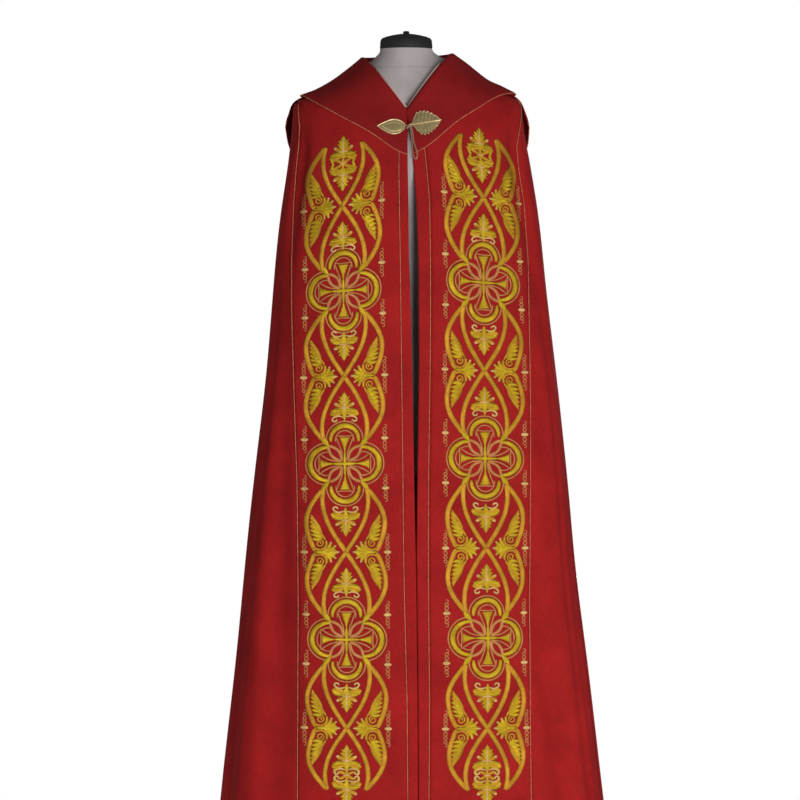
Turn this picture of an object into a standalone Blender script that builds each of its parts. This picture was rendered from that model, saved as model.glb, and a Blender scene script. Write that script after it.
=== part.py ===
"""Cope vestment on a dress form with a round stand.

Metres, +Z up. The front of the garment faces -Y, and the wearer's left is +X. The origin is the
centre of the stand's underside, on the floor.

Every piece of cloth is a wall laid along one surface, the cope's own drape. A place on that surface
is (turn, ring): turn is the angle round the body in degrees, 0 at the front opening, 90 at the
wearer's left and -90 at the right, and ring counts down the rows of RINGS, from the neck to the hem.
"""

import math

import bmesh
import bpy
import numpy as np

# ---------------------------------------------------------------- driving sizes, metres
CLOTH = 0.0020  # wall of the cope, the collar and the hood
SEAM = 0.0003  # gap between pieces that are sewn to each other
SEAM_HALF = 0.0002  # half of a seam's gap, measured across the seam
FORM_GAP = 0.0016  # between the form and the cloth that rests on it
FACING_CLOTH = 0.0014
PIPING_HALF_WIDTH = 0.0013
PIPING_HEIGHT = 0.0012
HEM_Z = 0.040
NECK_TOP_Z = 1.657
NECK_TOP_RADIUS = 0.0550
NECK_LEAN = -0.0060  # how far the neck's top stands towards the wearer's right
CAP_TOP_Z = 1.695
TORSO_FLOOR_Z = 0.760
POLE_RADIUS = 0.0125
BASE_RADIUS = 0.190
BASE_THICKNESS = 0.012
HUB_RADIUS = 0.030
HUB_TOP_Z = 0.040

# The drape, row by row. At its sides a row reaches right_x at right_z and left_x at left_z. At the
# front and back centre it reaches front_y and back_y, at front_z and back_z. square is the power of
# its rounded plan, 2 for an ellipse. dip shapes its fall towards the front, 1 for a straight V.
RING_COLUMNS = (
    "right_x", "left_x", "right_z", "left_z", "front_x", "front_y", "front_z", "back_y", "back_z",
    "square", "dip",
)
RINGS = (
    (0.083, 0.076, 1.631, 1.639, -0.005, 0.089, 1.523, 0.066, 1.637, 2.00, 1.0),  # facing's top
    (0.091, 0.084, 1.626, 1.634, -0.005, 0.098, 1.509, 0.074, 1.632, 2.00, 1.0),  # neck seam
    (0.114, 0.116, 1.612, 1.616, -0.004, 0.113, 1.484, 0.098, 1.612, 2.05, 1.1),
    (0.149, 0.157, 1.587, 1.5845, -0.0025, 0.127, 1.455, 0.122, 1.576, 2.15, 1.3),
    (0.190, 0.194, 1.5635, 1.567, -0.001, 0.139, 1.415, 0.141, 1.533, 2.25, 1.5),
    (0.2365, 0.229, 1.5435, 1.5455, 0.0, 0.148, 1.375, 0.155, 1.480, 2.35, 1.7),  # shoulder tip
    (0.2435, 0.2375, 1.513, 1.513, 0.0, 0.154, 1.340, 0.166, 1.425, 2.40, 1.9),
    (0.2465, 0.242, 1.473, 1.473, 0.0, 0.159, 1.300, 0.176, 1.370, 2.45, 2.0),
    (0.254, 0.254, 1.410, 1.410, 0.0, 0.162, 1.255, 0.186, 1.310, 2.50, 2.0),
    (0.271, 0.273, 1.290, 1.290, 0.0, 0.166, 1.185, 0.202, 1.225, 2.55, 2.0),  # ribs
    (0.285, 0.289, 1.140, 1.140, 0.0, 0.169, 1.080, 0.224, 1.100, 2.55, 2.0),  # waist
    (0.300, 0.310, 0.950, 0.950, 0.0, 0.172, 0.930, 0.252, 0.938, 2.55, 2.0),
    (0.321, 0.330, 0.750, 0.750, 0.0, 0.177, 0.745, 0.281, 0.748, 2.55, 2.0),  # knee
    (0.343, 0.347, 0.550, 0.550, 0.0, 0.182, 0.550, 0.308, 0.550, 2.50, 2.0),
    (0.363, 0.371, 0.350, 0.350, 0.0, 0.187, 0.350, 0.334, 0.350, 2.45, 2.0),
    (0.383, 0.396, 0.155, 0.155, 0.0, 0.192, 0.155, 0.359, 0.155, 2.40, 2.0),
    (0.394, 0.411, HEM_Z, HEM_Z, 0.0, 0.195, HEM_Z, 0.372, HEM_Z, 2.40, 2.0),  # hem
)
FACING_RING, NECK_RING, HEM_RING = 0, 1, len(RINGS) - 1

# Where the seams of the two fronts run, as x at each height: the seam between the side cloth and
# the orphrey, the line between the orphrey and the edge band, and the front edge, for each side.
FRONT_COLUMNS = (
    "z", "right_seam", "right_line", "right_edge", "left_edge", "left_line", "left_seam",
)
FRONT_LINES = (
    (1.560, -0.233, -0.0180, -0.0015, 0.0015, 0.0230, 0.231),
    (1.520, -0.2295, -0.0190, -0.0018, 0.0026, 0.0254, 0.2340),
    (1.490, -0.2269, -0.0197, -0.0021, 0.0037, 0.0274, 0.2300),
    (1.447, -0.2297, -0.0206, -0.0034, 0.0062, 0.0315, 0.2230),
    (1.400, -0.2350, -0.0215, -0.0030, 0.0095, 0.0365, 0.2280),
    (1.330, -0.240, -0.0205, -0.0014, 0.0150, 0.0425, 0.239),
    (1.210, -0.243, -0.0185, -0.0004, 0.0190, 0.0440, 0.246),
    (1.100, -0.243, -0.0170, 0.0035, 0.0200, 0.0440, 0.248),
    (1.000, -0.240, -0.0160, 0.0060, 0.0204, 0.0435, 0.250),
    (0.900, -0.237, -0.0145, 0.0078, 0.0192, 0.0420, 0.251),
    (0.750, -0.232, -0.0130, 0.0103, 0.0172, 0.0400, 0.251),
    (0.600, -0.230, -0.0115, 0.0133, 0.0153, 0.0395, 0.250),
    (0.500, -0.229, -0.0097, 0.0150, 0.0167, 0.0400, 0.248),
    (0.300, -0.230, -0.0045, 0.0170, 0.0187, 0.0420, 0.250),
    (0.040, -0.231, -0.0025, 0.0183, 0.0200, 0.0405, 0.253),
)

# The large folds. Each is a soft furrow (depth below 0) or ridge of the given half width in
# degrees, running from top_turn at top_z to low_turn at the hem. It deepens from top_z down to
# full_z, and fades out again by end_z.
FOLD_COLUMNS = ("top_turn", "low_turn", "half_width", "depth", "top_z", "full_z", "end_z")
FOLDS = (
    (-62.0, -60.0, 11.0, -0.0120, 1.520, 1.400, 1.060),  # tuck beside the right orphrey
    (62.0, 62.0, 11.0, -0.0140, 1.520, 1.380, 0.980),  # and beside the left one
    (-58.0, -39.0, 15.0, -0.0150, 1.050, 0.450, -1.0),  # furrow of the right side
    (44.0, 52.0, 13.0, -0.0170, 0.620, 0.360, -1.0),  # furrow of the left side
    (-84.0, -80.0, 11.0, -0.0110, 1.250, 0.500, -1.0),
    (80.0, 83.0, 10.0, -0.0110, 1.150, 0.450, -1.0),
    (-104.0, -103.0, 12.0, -0.0400, 1.420, 0.300, -1.0),
    (102.0, 104.0, 12.0, -0.0380, 1.400, 0.350, -1.0),
    (-127.0, -128.0, 12.5, -0.0500, 1.300, 0.250, -1.0),
    (126.0, 129.0, 12.5, -0.0520, 1.280, 0.200, -1.0),
    (-151.0, -153.0, 12.5, -0.0480, 1.200, 0.250, -1.0),
    (152.0, 154.0, 12.5, -0.0460, 1.220, 0.300, -1.0),
    (177.0, 180.0, 13.0, -0.0440, 1.150, 0.200, -1.0),
)

# The collar's outer edge, the ring that it reaches at each turn, on the right side and the left.
COLLAR_COLUMNS = ("turn", "right_ring", "left_ring")
COLLAR_EDGE = (
    (0.0, 3.62, 3.62), (8.0, 3.62, 3.60), (18.0, 3.55, 3.53), (28.0, 3.64, 3.44),
    (37.0, 3.80, 3.50), (46.0, 3.99, 3.66), (56.0, 4.17, 3.81), (66.0, 4.35, 3.96),
    (75.0, 4.46, 4.14), (84.0, 4.60, 4.50), (92.0, 4.68, 4.66), (104.0, 4.66, 4.64),
    (118.0, 4.50, 4.46), (134.0, 4.18, 4.14), (155.0, 3.82, 3.82), (180.0, 3.72, 3.72),
)
# Its section from the neck roll outwards: rings from the neck seam and height over the cope.
ROLL_COLUMNS = ("ring", "height")
COLLAR_ROLL = (
    (-0.30, 0.0034), (-0.36, 0.0068), (-0.18, 0.0098), (0.10, 0.0100), (0.45, 0.0076),
    (1.00, 0.0048),
)
COLLAR_RAISE = (0.0, 0.25, 0.55, 0.80, 0.95, 1.0)  # each place's share of the rise over the hood
COLLAR_FRONT_X = (  # the wings' front edges: height, right x, left x
    (1.540, -0.0050, -0.0030), (1.490, -0.0045, 0.0010), (1.460, -0.0040, 0.0045),
    (1.428, -0.0030, 0.0125),
)
COLLAR_LIFT_FRONT = 0.0032  # mid wall of the collar over mid wall of the cope, at the front
COLLAR_LIFT_BACK = 0.0100  # and at the back, where the hood lies between them
ROLL_SWELL = COLLAR_ROLL[-1][1] - COLLAR_LIFT_FRONT
# The facing's section, as ring and height: its top edge rolls out beside the collar's roll.
FACING_ROLL = (
    (0.08, 0.0064), (0.20, 0.0072), (0.34, 0.0060), (0.50, 0.0016), (0.66, -0.0011),
    (0.94, -0.0011),
)
FACING_FLAT = FACING_ROLL[-1][1]  # it lies flat at the neck's sides and back

# The hood, a rounded shield on the back. Its lower edge, the ring that it reaches at each turn.
HOOD_EDGE = (
    (92.0, 6.05), (98.0, 6.75), (108.0, 7.30), (122.0, 7.90), (138.0, 8.70), (155.0, 9.45),
    (170.0, 9.92), (180.0, 10.05),
)
HOOD_TOP_RING = 2.5
HOOD_LIFT_SEAM = 0.0026  # mid wall of the hood over mid wall of the back, where it is sewn on
HOOD_LIFT_TOP = 0.0047
HOOD_LIFT_EDGE = 0.0120
HOOD_LIFT_SIDE = 0.0150  # its sides stand off a little more, just behind the shoulder

# The form above and below the cloth that it carries.
FORM_COLUMNS = (
    "side_x", "side_z", "front_y", "front_z", "back_y", "back_z", "square", "dip",
)
FORM_NECK = (
    (NECK_TOP_RADIUS, NECK_TOP_Z, 0.0550, NECK_TOP_Z, 0.0550, NECK_TOP_Z, 2.0, 2.0),
    (0.0560, 1.6520, 0.0600, 1.6250, 0.0560, 1.6500, 2.0, 1.8),
    (0.0600, 1.6470, 0.0660, 1.5950, 0.0570, 1.6460, 2.0, 1.5),
    (0.0680, 1.6405, 0.0760, 1.5630, 0.0595, 1.6420, 2.0, 1.2),
)
NECK_LEANS = (1.0, 0.9, 0.65, 0.35)  # the share of the lean in each of those rows
FORM_SHOULDER_RINGS = (0.0, 0.5, 1.0, 1.5, 2.0, 2.5, 3.0, 3.5, 4.0, 4.4)
FORM_TORSO = (
    (0.2130, 1.5320, 0.1390, 1.3790, 0.1460, 1.4750, 2.3, 1.7),
    (0.2080, 1.4900, 0.1330, 1.3480, 0.1440, 1.4200, 2.3, 1.8),
    (0.1960, 1.4250, 0.1290, 1.3100, 0.1390, 1.3600, 2.3, 2.0),
    (0.1830, 1.3450, 0.1250, 1.2650, 0.1330, 1.2950, 2.3, 2.0),
    (0.1710, 1.2350, 0.1170, 1.1950, 0.1200, 1.2100, 2.2, 2.0),
    (0.1600, 1.1000, 0.1080, 1.0950, 0.1040, 1.1000, 2.1, 2.0),  # waist
    (0.1680, 1.0000, 0.1120, 1.0000, 0.1120, 1.0000, 2.1, 2.0),
    (0.1790, 0.9000, 0.1180, 0.9000, 0.1260, 0.9000, 2.2, 2.0),  # hips
    (0.1800, 0.8200, 0.1160, 0.8200, 0.1240, 0.8200, 2.2, 2.0),
    (0.1740, 0.7720, 0.1110, 0.7720, 0.1170, 0.7720, 2.2, 2.0),
    (0.1660, TORSO_FLOOR_Z, 0.1040, TORSO_FLOOR_Z, 0.1090, TORSO_FLOOR_Z, 2.2, 2.0),
)
FORM_SIDES = 32

# The clasp: a leaf on each wing of the collar, joined by a ring and a hook, and a hanging chain.
LEAF_THICKNESS = 0.0022
CHAIN_RADIUS = 0.0012
CLASP_OUT = (0.0, -0.96, 0.28)  # the way out from the collar at the clasp
CLASP_PLANE = (-0.1200, 1.4870, 0.42)  # between the leaves: its y at that height, and its lean
WIRE_RADIUS = 0.0008

# ---------------------------------------------------------------- materials
MATERIALS = {  # name: (colour, roughness, metallic)
    "red_cloth": ((0.290, 0.013, 0.015), 0.85, 0.0),
    "gold_piping": ((0.520, 0.290, 0.110), 0.45, 0.6),
    "cream_facing": ((0.560, 0.470, 0.410), 0.80, 0.0),
    "clasp_metal": ((0.470, 0.400, 0.180), 0.40, 0.9),
    "form_jersey": ((0.620, 0.590, 0.580), 0.90, 0.0),
    "black_cap": ((0.012, 0.011, 0.012), 0.60, 0.0),
    "stand_metal": ((0.060, 0.060, 0.062), 0.40, 0.8),
}


def material(name):
    found = bpy.data.materials.get(name)
    if found:
        return found
    colour, roughness, metallic = MATERIALS[name]
    made = bpy.data.materials.new(name)
    made.use_nodes = True
    shader = made.node_tree.nodes["Principled BSDF"]
    shader.inputs["Base Color"].default_value = (*colour, 1.0)
    shader.inputs["Roughness"].default_value = roughness
    shader.inputs["Metallic"].default_value = metallic
    return made


# ---------------------------------------------------------------- the drape as a function
def smooth_step(t):
    t = np.clip(t, 0.0, 1.0)
    return t * t * (3.0 - 2.0 * t)


def spline(rows, at):
    """Catmull-Rom through evenly counted rows, at the row numbers given. One column a value."""
    rows = np.asarray(rows, float)
    at = np.clip(np.asarray(at, float), 0.0, len(rows) - 1.0)
    i = np.minimum(at.astype(int), len(rows) - 2)
    t = (at - i)[..., None]
    before, start = rows[np.maximum(i - 1, 0)], rows[i]
    end, after = rows[i + 1], rows[np.minimum(i + 2, len(rows) - 1)]
    out_of, into = (end - before) / 2, (after - start) / 2
    return (
        start * (2 * t**3 - 3 * t**2 + 1) + out_of * (t**3 - 2 * t**2 + t)
        + end * (3 * t**2 - 2 * t**3) + into * (t**3 - t**2)
    )


def rounded_ring(columns, turn):
    """A point of a rounded ring at each turn, from its columns by name, and its plan normal."""
    angle = np.radians(turn)
    sine, cosine = np.sin(angle), np.cos(angle)
    power = 2.0 / columns["square"]
    across, along = np.abs(sine) ** power, np.abs(cosine) ** power
    reach_x = np.where(sine < 0, columns["right_x"], columns["left_x"])
    reach_y = np.where(cosine > 0, columns["front_y"], columns["back_y"])
    side_z = np.where(sine < 0, columns["right_z"], columns["left_z"])
    far_z = np.where(cosine > 0, columns["front_z"], columns["back_z"])
    bend = np.where(cosine > 0, columns["dip"], 2.0)
    shift = np.where(cosine > 0, columns["front_x"], 0.0)
    x = np.sign(sine) * reach_x * across + shift * (1.0 - across)
    y = -np.sign(cosine) * reach_y * along
    z = side_z + (far_z - side_z) * (1.0 - across**bend)
    steep = columns["square"] - 1.0
    nx = np.sign(sine) * across**steep / reach_x
    ny = -np.sign(cosine) * along**steep / reach_y
    size = np.maximum(np.hypot(nx, ny), 1e-9)
    return np.stack([x, y, z], -1), np.stack([nx / size, ny / size, np.zeros_like(nx)], -1)


def fold_depth(turn, z):
    total = np.zeros(np.broadcast(turn, z).shape)
    for row in FOLDS:
        fold = dict(zip(FOLD_COLUMNS, row))
        down = np.clip((fold["top_z"] - z) / (fold["top_z"] - HEM_Z), 0.0, 1.0)
        centre = fold["top_turn"] + (fold["low_turn"] - fold["top_turn"]) * down
        away = (turn - centre + 180.0) % 360.0 - 180.0
        bump = 0.5 + 0.5 * np.cos(np.pi * np.clip(away / fold["half_width"], -1.0, 1.0))
        grown = smooth_step((fold["top_z"] - z) / (fold["top_z"] - fold["full_z"]))
        if fold["end_z"] > 0:
            grown = grown * smooth_step((z - fold["end_z"]) / (fold["full_z"] - fold["end_z"]))
        total = total + fold["depth"] * bump * grown
    return total


def drape(turn, ring, folds=1.0):
    """The middle of the cope's wall."""
    turn, ring = np.broadcast_arrays(np.asarray(turn, float), np.asarray(ring, float))
    table = spline(RINGS, ring)
    columns = {name: table[..., i] for i, name in enumerate(RING_COLUMNS)}
    point, outward = rounded_ring(columns, turn)
    if folds:
        point = point + outward * (folds * fold_depth(turn, point[..., 2]))[..., None]
    return point


def drape_normal(turn, ring, folds=1.0):
    step_turn, step_ring = 0.25, 0.02
    ring = np.asarray(ring, float)
    low, high = np.maximum(ring - step_ring, 0.0), np.minimum(ring + step_ring, HEM_RING)
    round_it = drape(turn + step_turn, ring, folds) - drape(turn - step_turn, ring, folds)
    down_it = drape(turn, high, folds) - drape(turn, low, folds)
    normal = np.cross(down_it, round_it)
    return normal / np.maximum(np.linalg.norm(normal, axis=-1, keepdims=True), 1e-12)


def lifted(turn, ring, height, folds=1.0):
    """A point over the drape, height measured square to it."""
    lift = np.asarray(height, float)[..., None]
    return drape(turn, ring, folds) + drape_normal(turn, ring, folds) * lift


def front_line(name, z):
    heights = [row[0] for row in FRONT_LINES][::-1]
    values = [row[FRONT_COLUMNS.index(name)] for row in FRONT_LINES][::-1]
    return np.interp(z, heights, values)


SCAN = np.linspace(-90.0, 90.0, 1441)


def turn_of_line(name, ring, shift=0.0):
    """The turn where a front line, moved by shift, crosses a ring, or the side where it doesn't."""
    points = drape(SCAN, np.full_like(SCAN, ring))
    beyond = points[:, 0] - (front_line(name, points[:, 2]) + shift)
    if beyond[0] > 0:
        return -90.0
    if beyond[-1] < 0:
        return 90.0
    i = int(np.argmax(beyond > 0))
    return float(np.interp(0.0, beyond[i - 1 : i + 1], SCAN[i - 1 : i + 1]))


def turn_gap(turn, ring, gap):
    """The turn, in degrees, that a gap along a ring takes up."""
    step = 0.5
    span = drape(turn + step, ring) - drape(turn - step, ring)
    return gap * 2 * step / max(float(np.linalg.norm(span)), 1e-6)


# Places on the front by x and z, for what is set on the chest.
CHEST_RINGS = np.linspace(0.0, HEM_RING, 241)
CHEST_TURNS = np.linspace(-89.0, 89.0, 357)
CHEST = drape(CHEST_TURNS[None, :], CHEST_RINGS[:, None])


def chest_place(x, z):
    """(turn, ring) of the front's place at that x and z."""
    turns = np.array([np.interp(x, row[:, 0], CHEST_TURNS) for row in CHEST])
    heights = np.array([np.interp(x, row[:, 0], row[:, 2]) for row in CHEST])
    reaches = np.array([row[-1, 0] > x > row[0, 0] for row in CHEST])
    heights, turns, rings = heights[reaches], turns[reaches], CHEST_RINGS[reaches]
    ring = np.interp(-z, -heights, rings)
    return float(np.interp(ring, rings, turns)), float(ring)


# ---------------------------------------------------------------- meshes
def add_object(name, points, faces, material_name, smooth=True):
    mesh = bpy.data.meshes.new(name)
    mesh.from_pydata([tuple(map(float, p)) for p in points], [], faces)
    shape = bmesh.new()
    shape.from_mesh(mesh)
    bmesh.ops.recalc_face_normals(shape, faces=shape.faces)
    shape.to_mesh(mesh)
    shape.free()
    made = bpy.data.objects.new(name, mesh)
    mesh.materials.append(material(material_name))
    if smooth:
        mesh.shade_smooth()
        mesh.set_sharp_from_angle(angle=math.radians(40))
    bpy.context.scene.collection.objects.link(made)
    return made


def wall(name, outer, inner, material_name):
    """A closed wall between two grids of points, each rows by columns. Both skins are split along
    the same diagonals, the shorter of each place's two, so that they never cross at a fold."""
    rows, columns = outer.shape[:2]
    count = rows * columns
    points = np.concatenate([outer.reshape(-1, 3), inner.reshape(-1, 3)])
    middle = (points[:count] + points[count:]) / 2
    faces = []
    for i in range(rows - 1):
        for j in range(columns - 1):
            a, b = i * columns + j, i * columns + j + 1
            c, d = b + columns, a + columns
            halves = ((a, b, c), (a, c, d))
            if np.linalg.norm(middle[a] - middle[c]) > np.linalg.norm(middle[b] - middle[d]):
                halves = ((a, b, d), (b, c, d))
            for half in halves:
                faces += [half, tuple(count + k for k in half[::-1])]
    rim = [j for j in range(columns)]
    rim += [i * columns + columns - 1 for i in range(1, rows)]
    rim += [(rows - 1) * columns + j for j in range(columns - 2, -1, -1)]
    rim += [i * columns for i in range(rows - 2, 0, -1)]
    for a, b in zip(rim, rim[1:] + rim[:1]):
        faces.append((a, count + a, count + b, b))
    return add_object(name, points, faces, material_name)


def cloth_wall(name, turns, rings, material_name, lift=0.0, thickness=CLOTH, folds=1.0):
    """A wall over the drape: turns and rings are grids, lift the height of its middle."""
    lift = np.broadcast_to(lift, turns.shape)
    outer = lifted(turns, rings, lift + thickness / 2, folds)
    inner = lifted(turns, rings, lift - thickness / 2, folds)
    return wall(name, outer, inner, material_name)


def stacked_rings(name, rings, material_name):
    """A closed solid through closed rings of as many points, its two ends filled."""
    sides = len(rings[0])
    points = np.concatenate(rings)
    faces = [tuple(range(sides)), tuple(range(len(points) - sides, len(points)))[::-1]]
    for i in range(len(rings) - 1):
        for j in range(sides):
            a, b = i * sides + j, i * sides + (j + 1) % sides
            faces.append((a, b, b + sides, a + sides))
    return add_object(name, points, faces, material_name)


def bead(name, centres, normals, half_width, height, material_name, sides=4):
    """A slim bead along a line: its section spans half_width each way, and height along normals."""
    centres = np.asarray(centres, float)
    along = np.gradient(centres, axis=0)
    along /= np.linalg.norm(along, axis=1, keepdims=True)
    across = np.cross(along, normals)
    across /= np.linalg.norm(across, axis=1, keepdims=True)
    up = np.cross(across, along)
    turn = np.radians(45.0) + np.arange(sides) * 2 * np.pi / sides
    spread = math.sqrt(2.0) if sides == 4 else 1.0
    rings = [
        c + np.outer(np.cos(turn) * half_width * spread, a) + np.outer(
            np.sin(turn) * height / 2 * spread, u)
        for c, a, u in zip(centres, across, up)
    ]
    return stacked_rings(name, rings, material_name)


def edge_piping(name, turns, rings, lifts, width):
    """A bead beyond the last row of a piece of cloth, as thick as the cloth's own edge."""
    edge, inside = lifted(turns[-1], rings[-1], lifts[-1], 0.0), lifted(
        turns[-2], rings[-2], lifts[-2], 0.0)
    normals = drape_normal(turns[-1], rings[-1], 0.0)
    along = np.gradient(edge, axis=0)
    across = np.cross(along, normals)
    across /= np.linalg.norm(across, axis=1, keepdims=True)
    across *= np.sign(np.sum(across * (edge - inside), axis=1, keepdims=True))
    centres = edge + across * (SEAM + width / 2 * 1.15)
    bead(name, centres, normals, width / 2, width, "gold_piping")


def turned(name, profile, material_name, segments=40, centre_x=0.0):
    """A solid of revolution about a vertical axis, from (radius, z) top to bottom."""
    angle = np.arange(segments) * 2 * np.pi / segments
    rings = [
        np.stack([centre_x + r * np.cos(angle), r * np.sin(angle), np.full(segments, z)], -1)
        for r, z in profile
    ]
    return stacked_rings(name, rings, material_name)


# ---------------------------------------------------------------- the cope
BODY_RINGS = np.array(
    [1.0, 1.5, 2.0, 2.5, 3.0, 3.5, 4.0, 4.5, 5.0, 5.5, 6.0, 6.5, 7.0, 7.6, 8.2, 9.0, 9.8,
     10.6, 11.5, 12.5, 13.6, 14.8, 16.0]
)
SIDE_RING = 5.0  # where the side cloth starts, at the shoulder tip
ORPHREY_COLUMNS, BAND_COLUMNS, SIDE_COLUMNS, BACK_COLUMNS = 9, 2, 6, 23


def side_sign(side):
    return -1.0 if side == "right" else 1.0


def make_edge_band(side):
    """The plain strip along the front edge."""
    out = side_sign(side)
    turns = [
        np.linspace(
            turn_of_line(f"{side}_edge", r),
            turn_of_line(f"{side}_line", r, -out * SEAM_HALF),
            BAND_COLUMNS + 1,
        )
        for r in BODY_RINGS
    ]
    rings = np.repeat(BODY_RINGS[:, None], BAND_COLUMNS + 1, axis=1)
    cloth_wall(f"{side}_edge_band", np.array(turns), rings, "red_cloth")


def seam_turn(side, ring, shift):
    """The turn of the orphrey's outer seam: above the shoulder tip it is the shoulder seam."""
    out = side_sign(side)
    turn = turn_of_line(f"{side}_seam", ring, shift)
    limit = 88.0 if ring >= SIDE_RING else 90.0
    limit += out * turn_gap(90.0, ring, shift) if ring >= SIDE_RING else -turn_gap(90.0, ring, SEAM_HALF)
    return out * min(abs(turn), limit)


def make_orphrey(side):
    """The wide embroidered strip between the edge band and the side cloth."""
    out = side_sign(side)
    turns = [
        np.linspace(
            turn_of_line(f"{side}_line", r, out * SEAM_HALF),
            seam_turn(side, r, -out * SEAM_HALF),
            ORPHREY_COLUMNS + 1,
        )
        for r in BODY_RINGS
    ]
    rings = np.repeat(BODY_RINGS[:, None], ORPHREY_COLUMNS + 1, axis=1)
    cloth_wall(f"{side}_orphrey", np.array(turns), rings, "red_cloth")


def make_side_cloth(side):
    """The cloth from the orphrey's outer seam to the side seam."""
    out = side_sign(side)
    rows = BODY_RINGS[BODY_RINGS >= SIDE_RING]
    turns = [
        np.linspace(
            seam_turn(side, r, out * SEAM_HALF),
            out * (90.0 - turn_gap(90.0, r, SEAM_HALF)),
            SIDE_COLUMNS + 1,
        )
        for r in rows
    ]
    rings = np.repeat(rows[:, None], SIDE_COLUMNS + 1, axis=1)
    cloth_wall(f"{side}_front", np.array(turns), rings, "red_cloth")


def make_back(side):
    """Half of the back, from the side seam to the centre back seam."""
    out = side_sign(side)
    turns = [
        out * np.linspace(
            90.0 + turn_gap(90.0, r, SEAM_HALF),
            180.0 - turn_gap(180.0, r, SEAM_HALF),
            BACK_COLUMNS + 1,
        )
        for r in BODY_RINGS
    ]
    rings = np.repeat(BODY_RINGS[:, None], BACK_COLUMNS + 1, axis=1)
    cloth_wall(f"{side}_back", np.array(turns), rings, "red_cloth")


def make_front_piping(side, line, first_ring):
    """The gold piping over a seam of a front."""
    rows = np.concatenate([[first_ring], BODY_RINGS[BODY_RINGS > first_ring + 0.1]])
    turns = np.array([
        turn_of_line(f"{side}_{line}", r) if line == "line" else seam_turn(side, r, 0.0)
        for r in rows
    ])
    height = CLOTH / 2 + 2 * SEAM + PIPING_HEIGHT / 2
    bead(
        f"{side}_{line}_piping", lifted(turns, rows, np.full(len(rows), height)),
        drape_normal(turns, rows), PIPING_HALF_WIDTH, PIPING_HEIGHT, "gold_piping",
    )


# ---------------------------------------------------------------- collar, hood and facing
def table_value(table, turn):
    """A table of the turn away from the front, read on either side. Its last column is the left's."""
    turns, right, left = np.array([(row[0], row[1], row[-1]) for row in table]).T
    signed = (np.asarray(turn, float) + 180.0) % 360.0 - 180.0
    away = np.abs(signed)
    return np.where(signed < 0, np.interp(away, turns, right), np.interp(away, turns, left))


def back_share(turn):
    """0 on the front, 1 on the back, changing over the shoulder."""
    away = np.abs((np.asarray(turn, float) + 180.0) % 360.0 - 180.0)
    return smooth_step((away - 70.0) / 22.0)


def collar_lift(turn):
    return COLLAR_LIFT_FRONT + (COLLAR_LIFT_BACK - COLLAR_LIFT_FRONT) * back_share(turn)


COLLAR_TURNS = np.array(
    [0.0, 5.0, 10.0, 15.0, 20.0, 26.0, 34.0, 44.0, 54.0, 63.0, 72.0, 81.0, 88.0, 94.0, 101.0, 108.0,
     116.0, 125.0, 136.0, 150.0, 165.0, 180.0]
)
COLLAR_TURNS = np.concatenate([COLLAR_TURNS, 360.0 - COLLAR_TURNS[-2::-1]])
COLLAR_SPREAD = (0.0, 0.25, 0.5, 0.75, 1.0)  # from the roll's foot to the outer edge


def collar_front_turn(ring, side):
    """The turn of a wing's front edge on a ring."""
    z = float(drape(0.0, ring)[2])
    heights, *edges = zip(*COLLAR_FRONT_X[::-1])
    x = np.interp(z, heights, edges[0 if side == "right" else 1])
    points = drape(SCAN, np.full_like(SCAN, ring))
    return float(np.interp(x, points[:, 0], SCAN))


def collar_rows():
    """The collar's rings and lifts, a row for each place from the roll to the outer edge."""
    edge = table_value(COLLAR_EDGE, COLLAR_TURNS)
    raised = collar_lift(COLLAR_TURNS) - COLLAR_LIFT_FRONT
    rings, lifts = [], []
    for (ring, height), share in zip(COLLAR_ROLL, COLLAR_RAISE):
        rings.append(np.full_like(edge, NECK_RING + ring))
        lifts.append(height + raised * share)
    foot = NECK_RING + COLLAR_ROLL[-1][0]
    for share in COLLAR_SPREAD[1:]:
        rings.append(foot + (edge - foot) * share)
        lifts.append(collar_lift(COLLAR_TURNS) + ROLL_SWELL * max(0.0, 1 - 2.2 * share))
    return np.array(rings), np.array(lifts)


def collar_turns(rings):
    """The turns of the collar's grid, its two ends moved to the wings' front edges."""
    turns = np.repeat(COLLAR_TURNS[None, :], len(rings), axis=0).copy()
    for i, row in enumerate(rings):
        start = collar_front_turn(row[0], "left")
        end = collar_front_turn(row[-1], "right") + 360.0
        reach = 15.0
        near = turns[i] < reach
        turns[i][near] = start + turns[i][near] * (reach - start) / reach
        far = turns[i] > 360.0 - reach
        back = 360.0 - turns[i][far]
        turns[i][far] = end - back * (reach - (360.0 - end)) / reach
    return turns


def make_collar():
    rings, lifts = collar_rows()
    turns = collar_turns(rings)
    cloth_wall("collar", turns, rings, "red_cloth", lift=lifts, thickness=0.0018, folds=0.0)
    edge_piping("collar_piping", turns, rings, lifts, 2 * PIPING_HALF_WIDTH)


def make_facing():
    """The narrow pale strip that shows inside the collar's roll."""
    turns = np.concatenate([[1.2], COLLAR_TURNS[1:-1], [358.8]])
    rows, heights = zip(*FACING_ROLL)
    grid, rings = np.meshgrid(turns, rows)
    front = 1.0 - smooth_step((np.abs((turns + 180.0) % 360.0 - 180.0) - 50.0) / 25.0)
    lifts = FACING_FLAT + (np.array(heights)[:, None] - FACING_FLAT) * front[None, :]
    cloth_wall("neck_facing", grid, rings, "cream_facing", lifts, FACING_CLOTH, 0.0)


HOOD_TURNS = np.array(
    [92.0, 94.0, 98.0, 102.0, 106.0, 110.0, 114.0, 118.0, 122.0, 128.0, 134.0, 142.0, 150.0,
     160.0, 170.0, 180.0]
)
HOOD_TURNS = np.concatenate([HOOD_TURNS, 360.0 - HOOD_TURNS[-2::-1]])
HOOD_ROWS = 11


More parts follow.
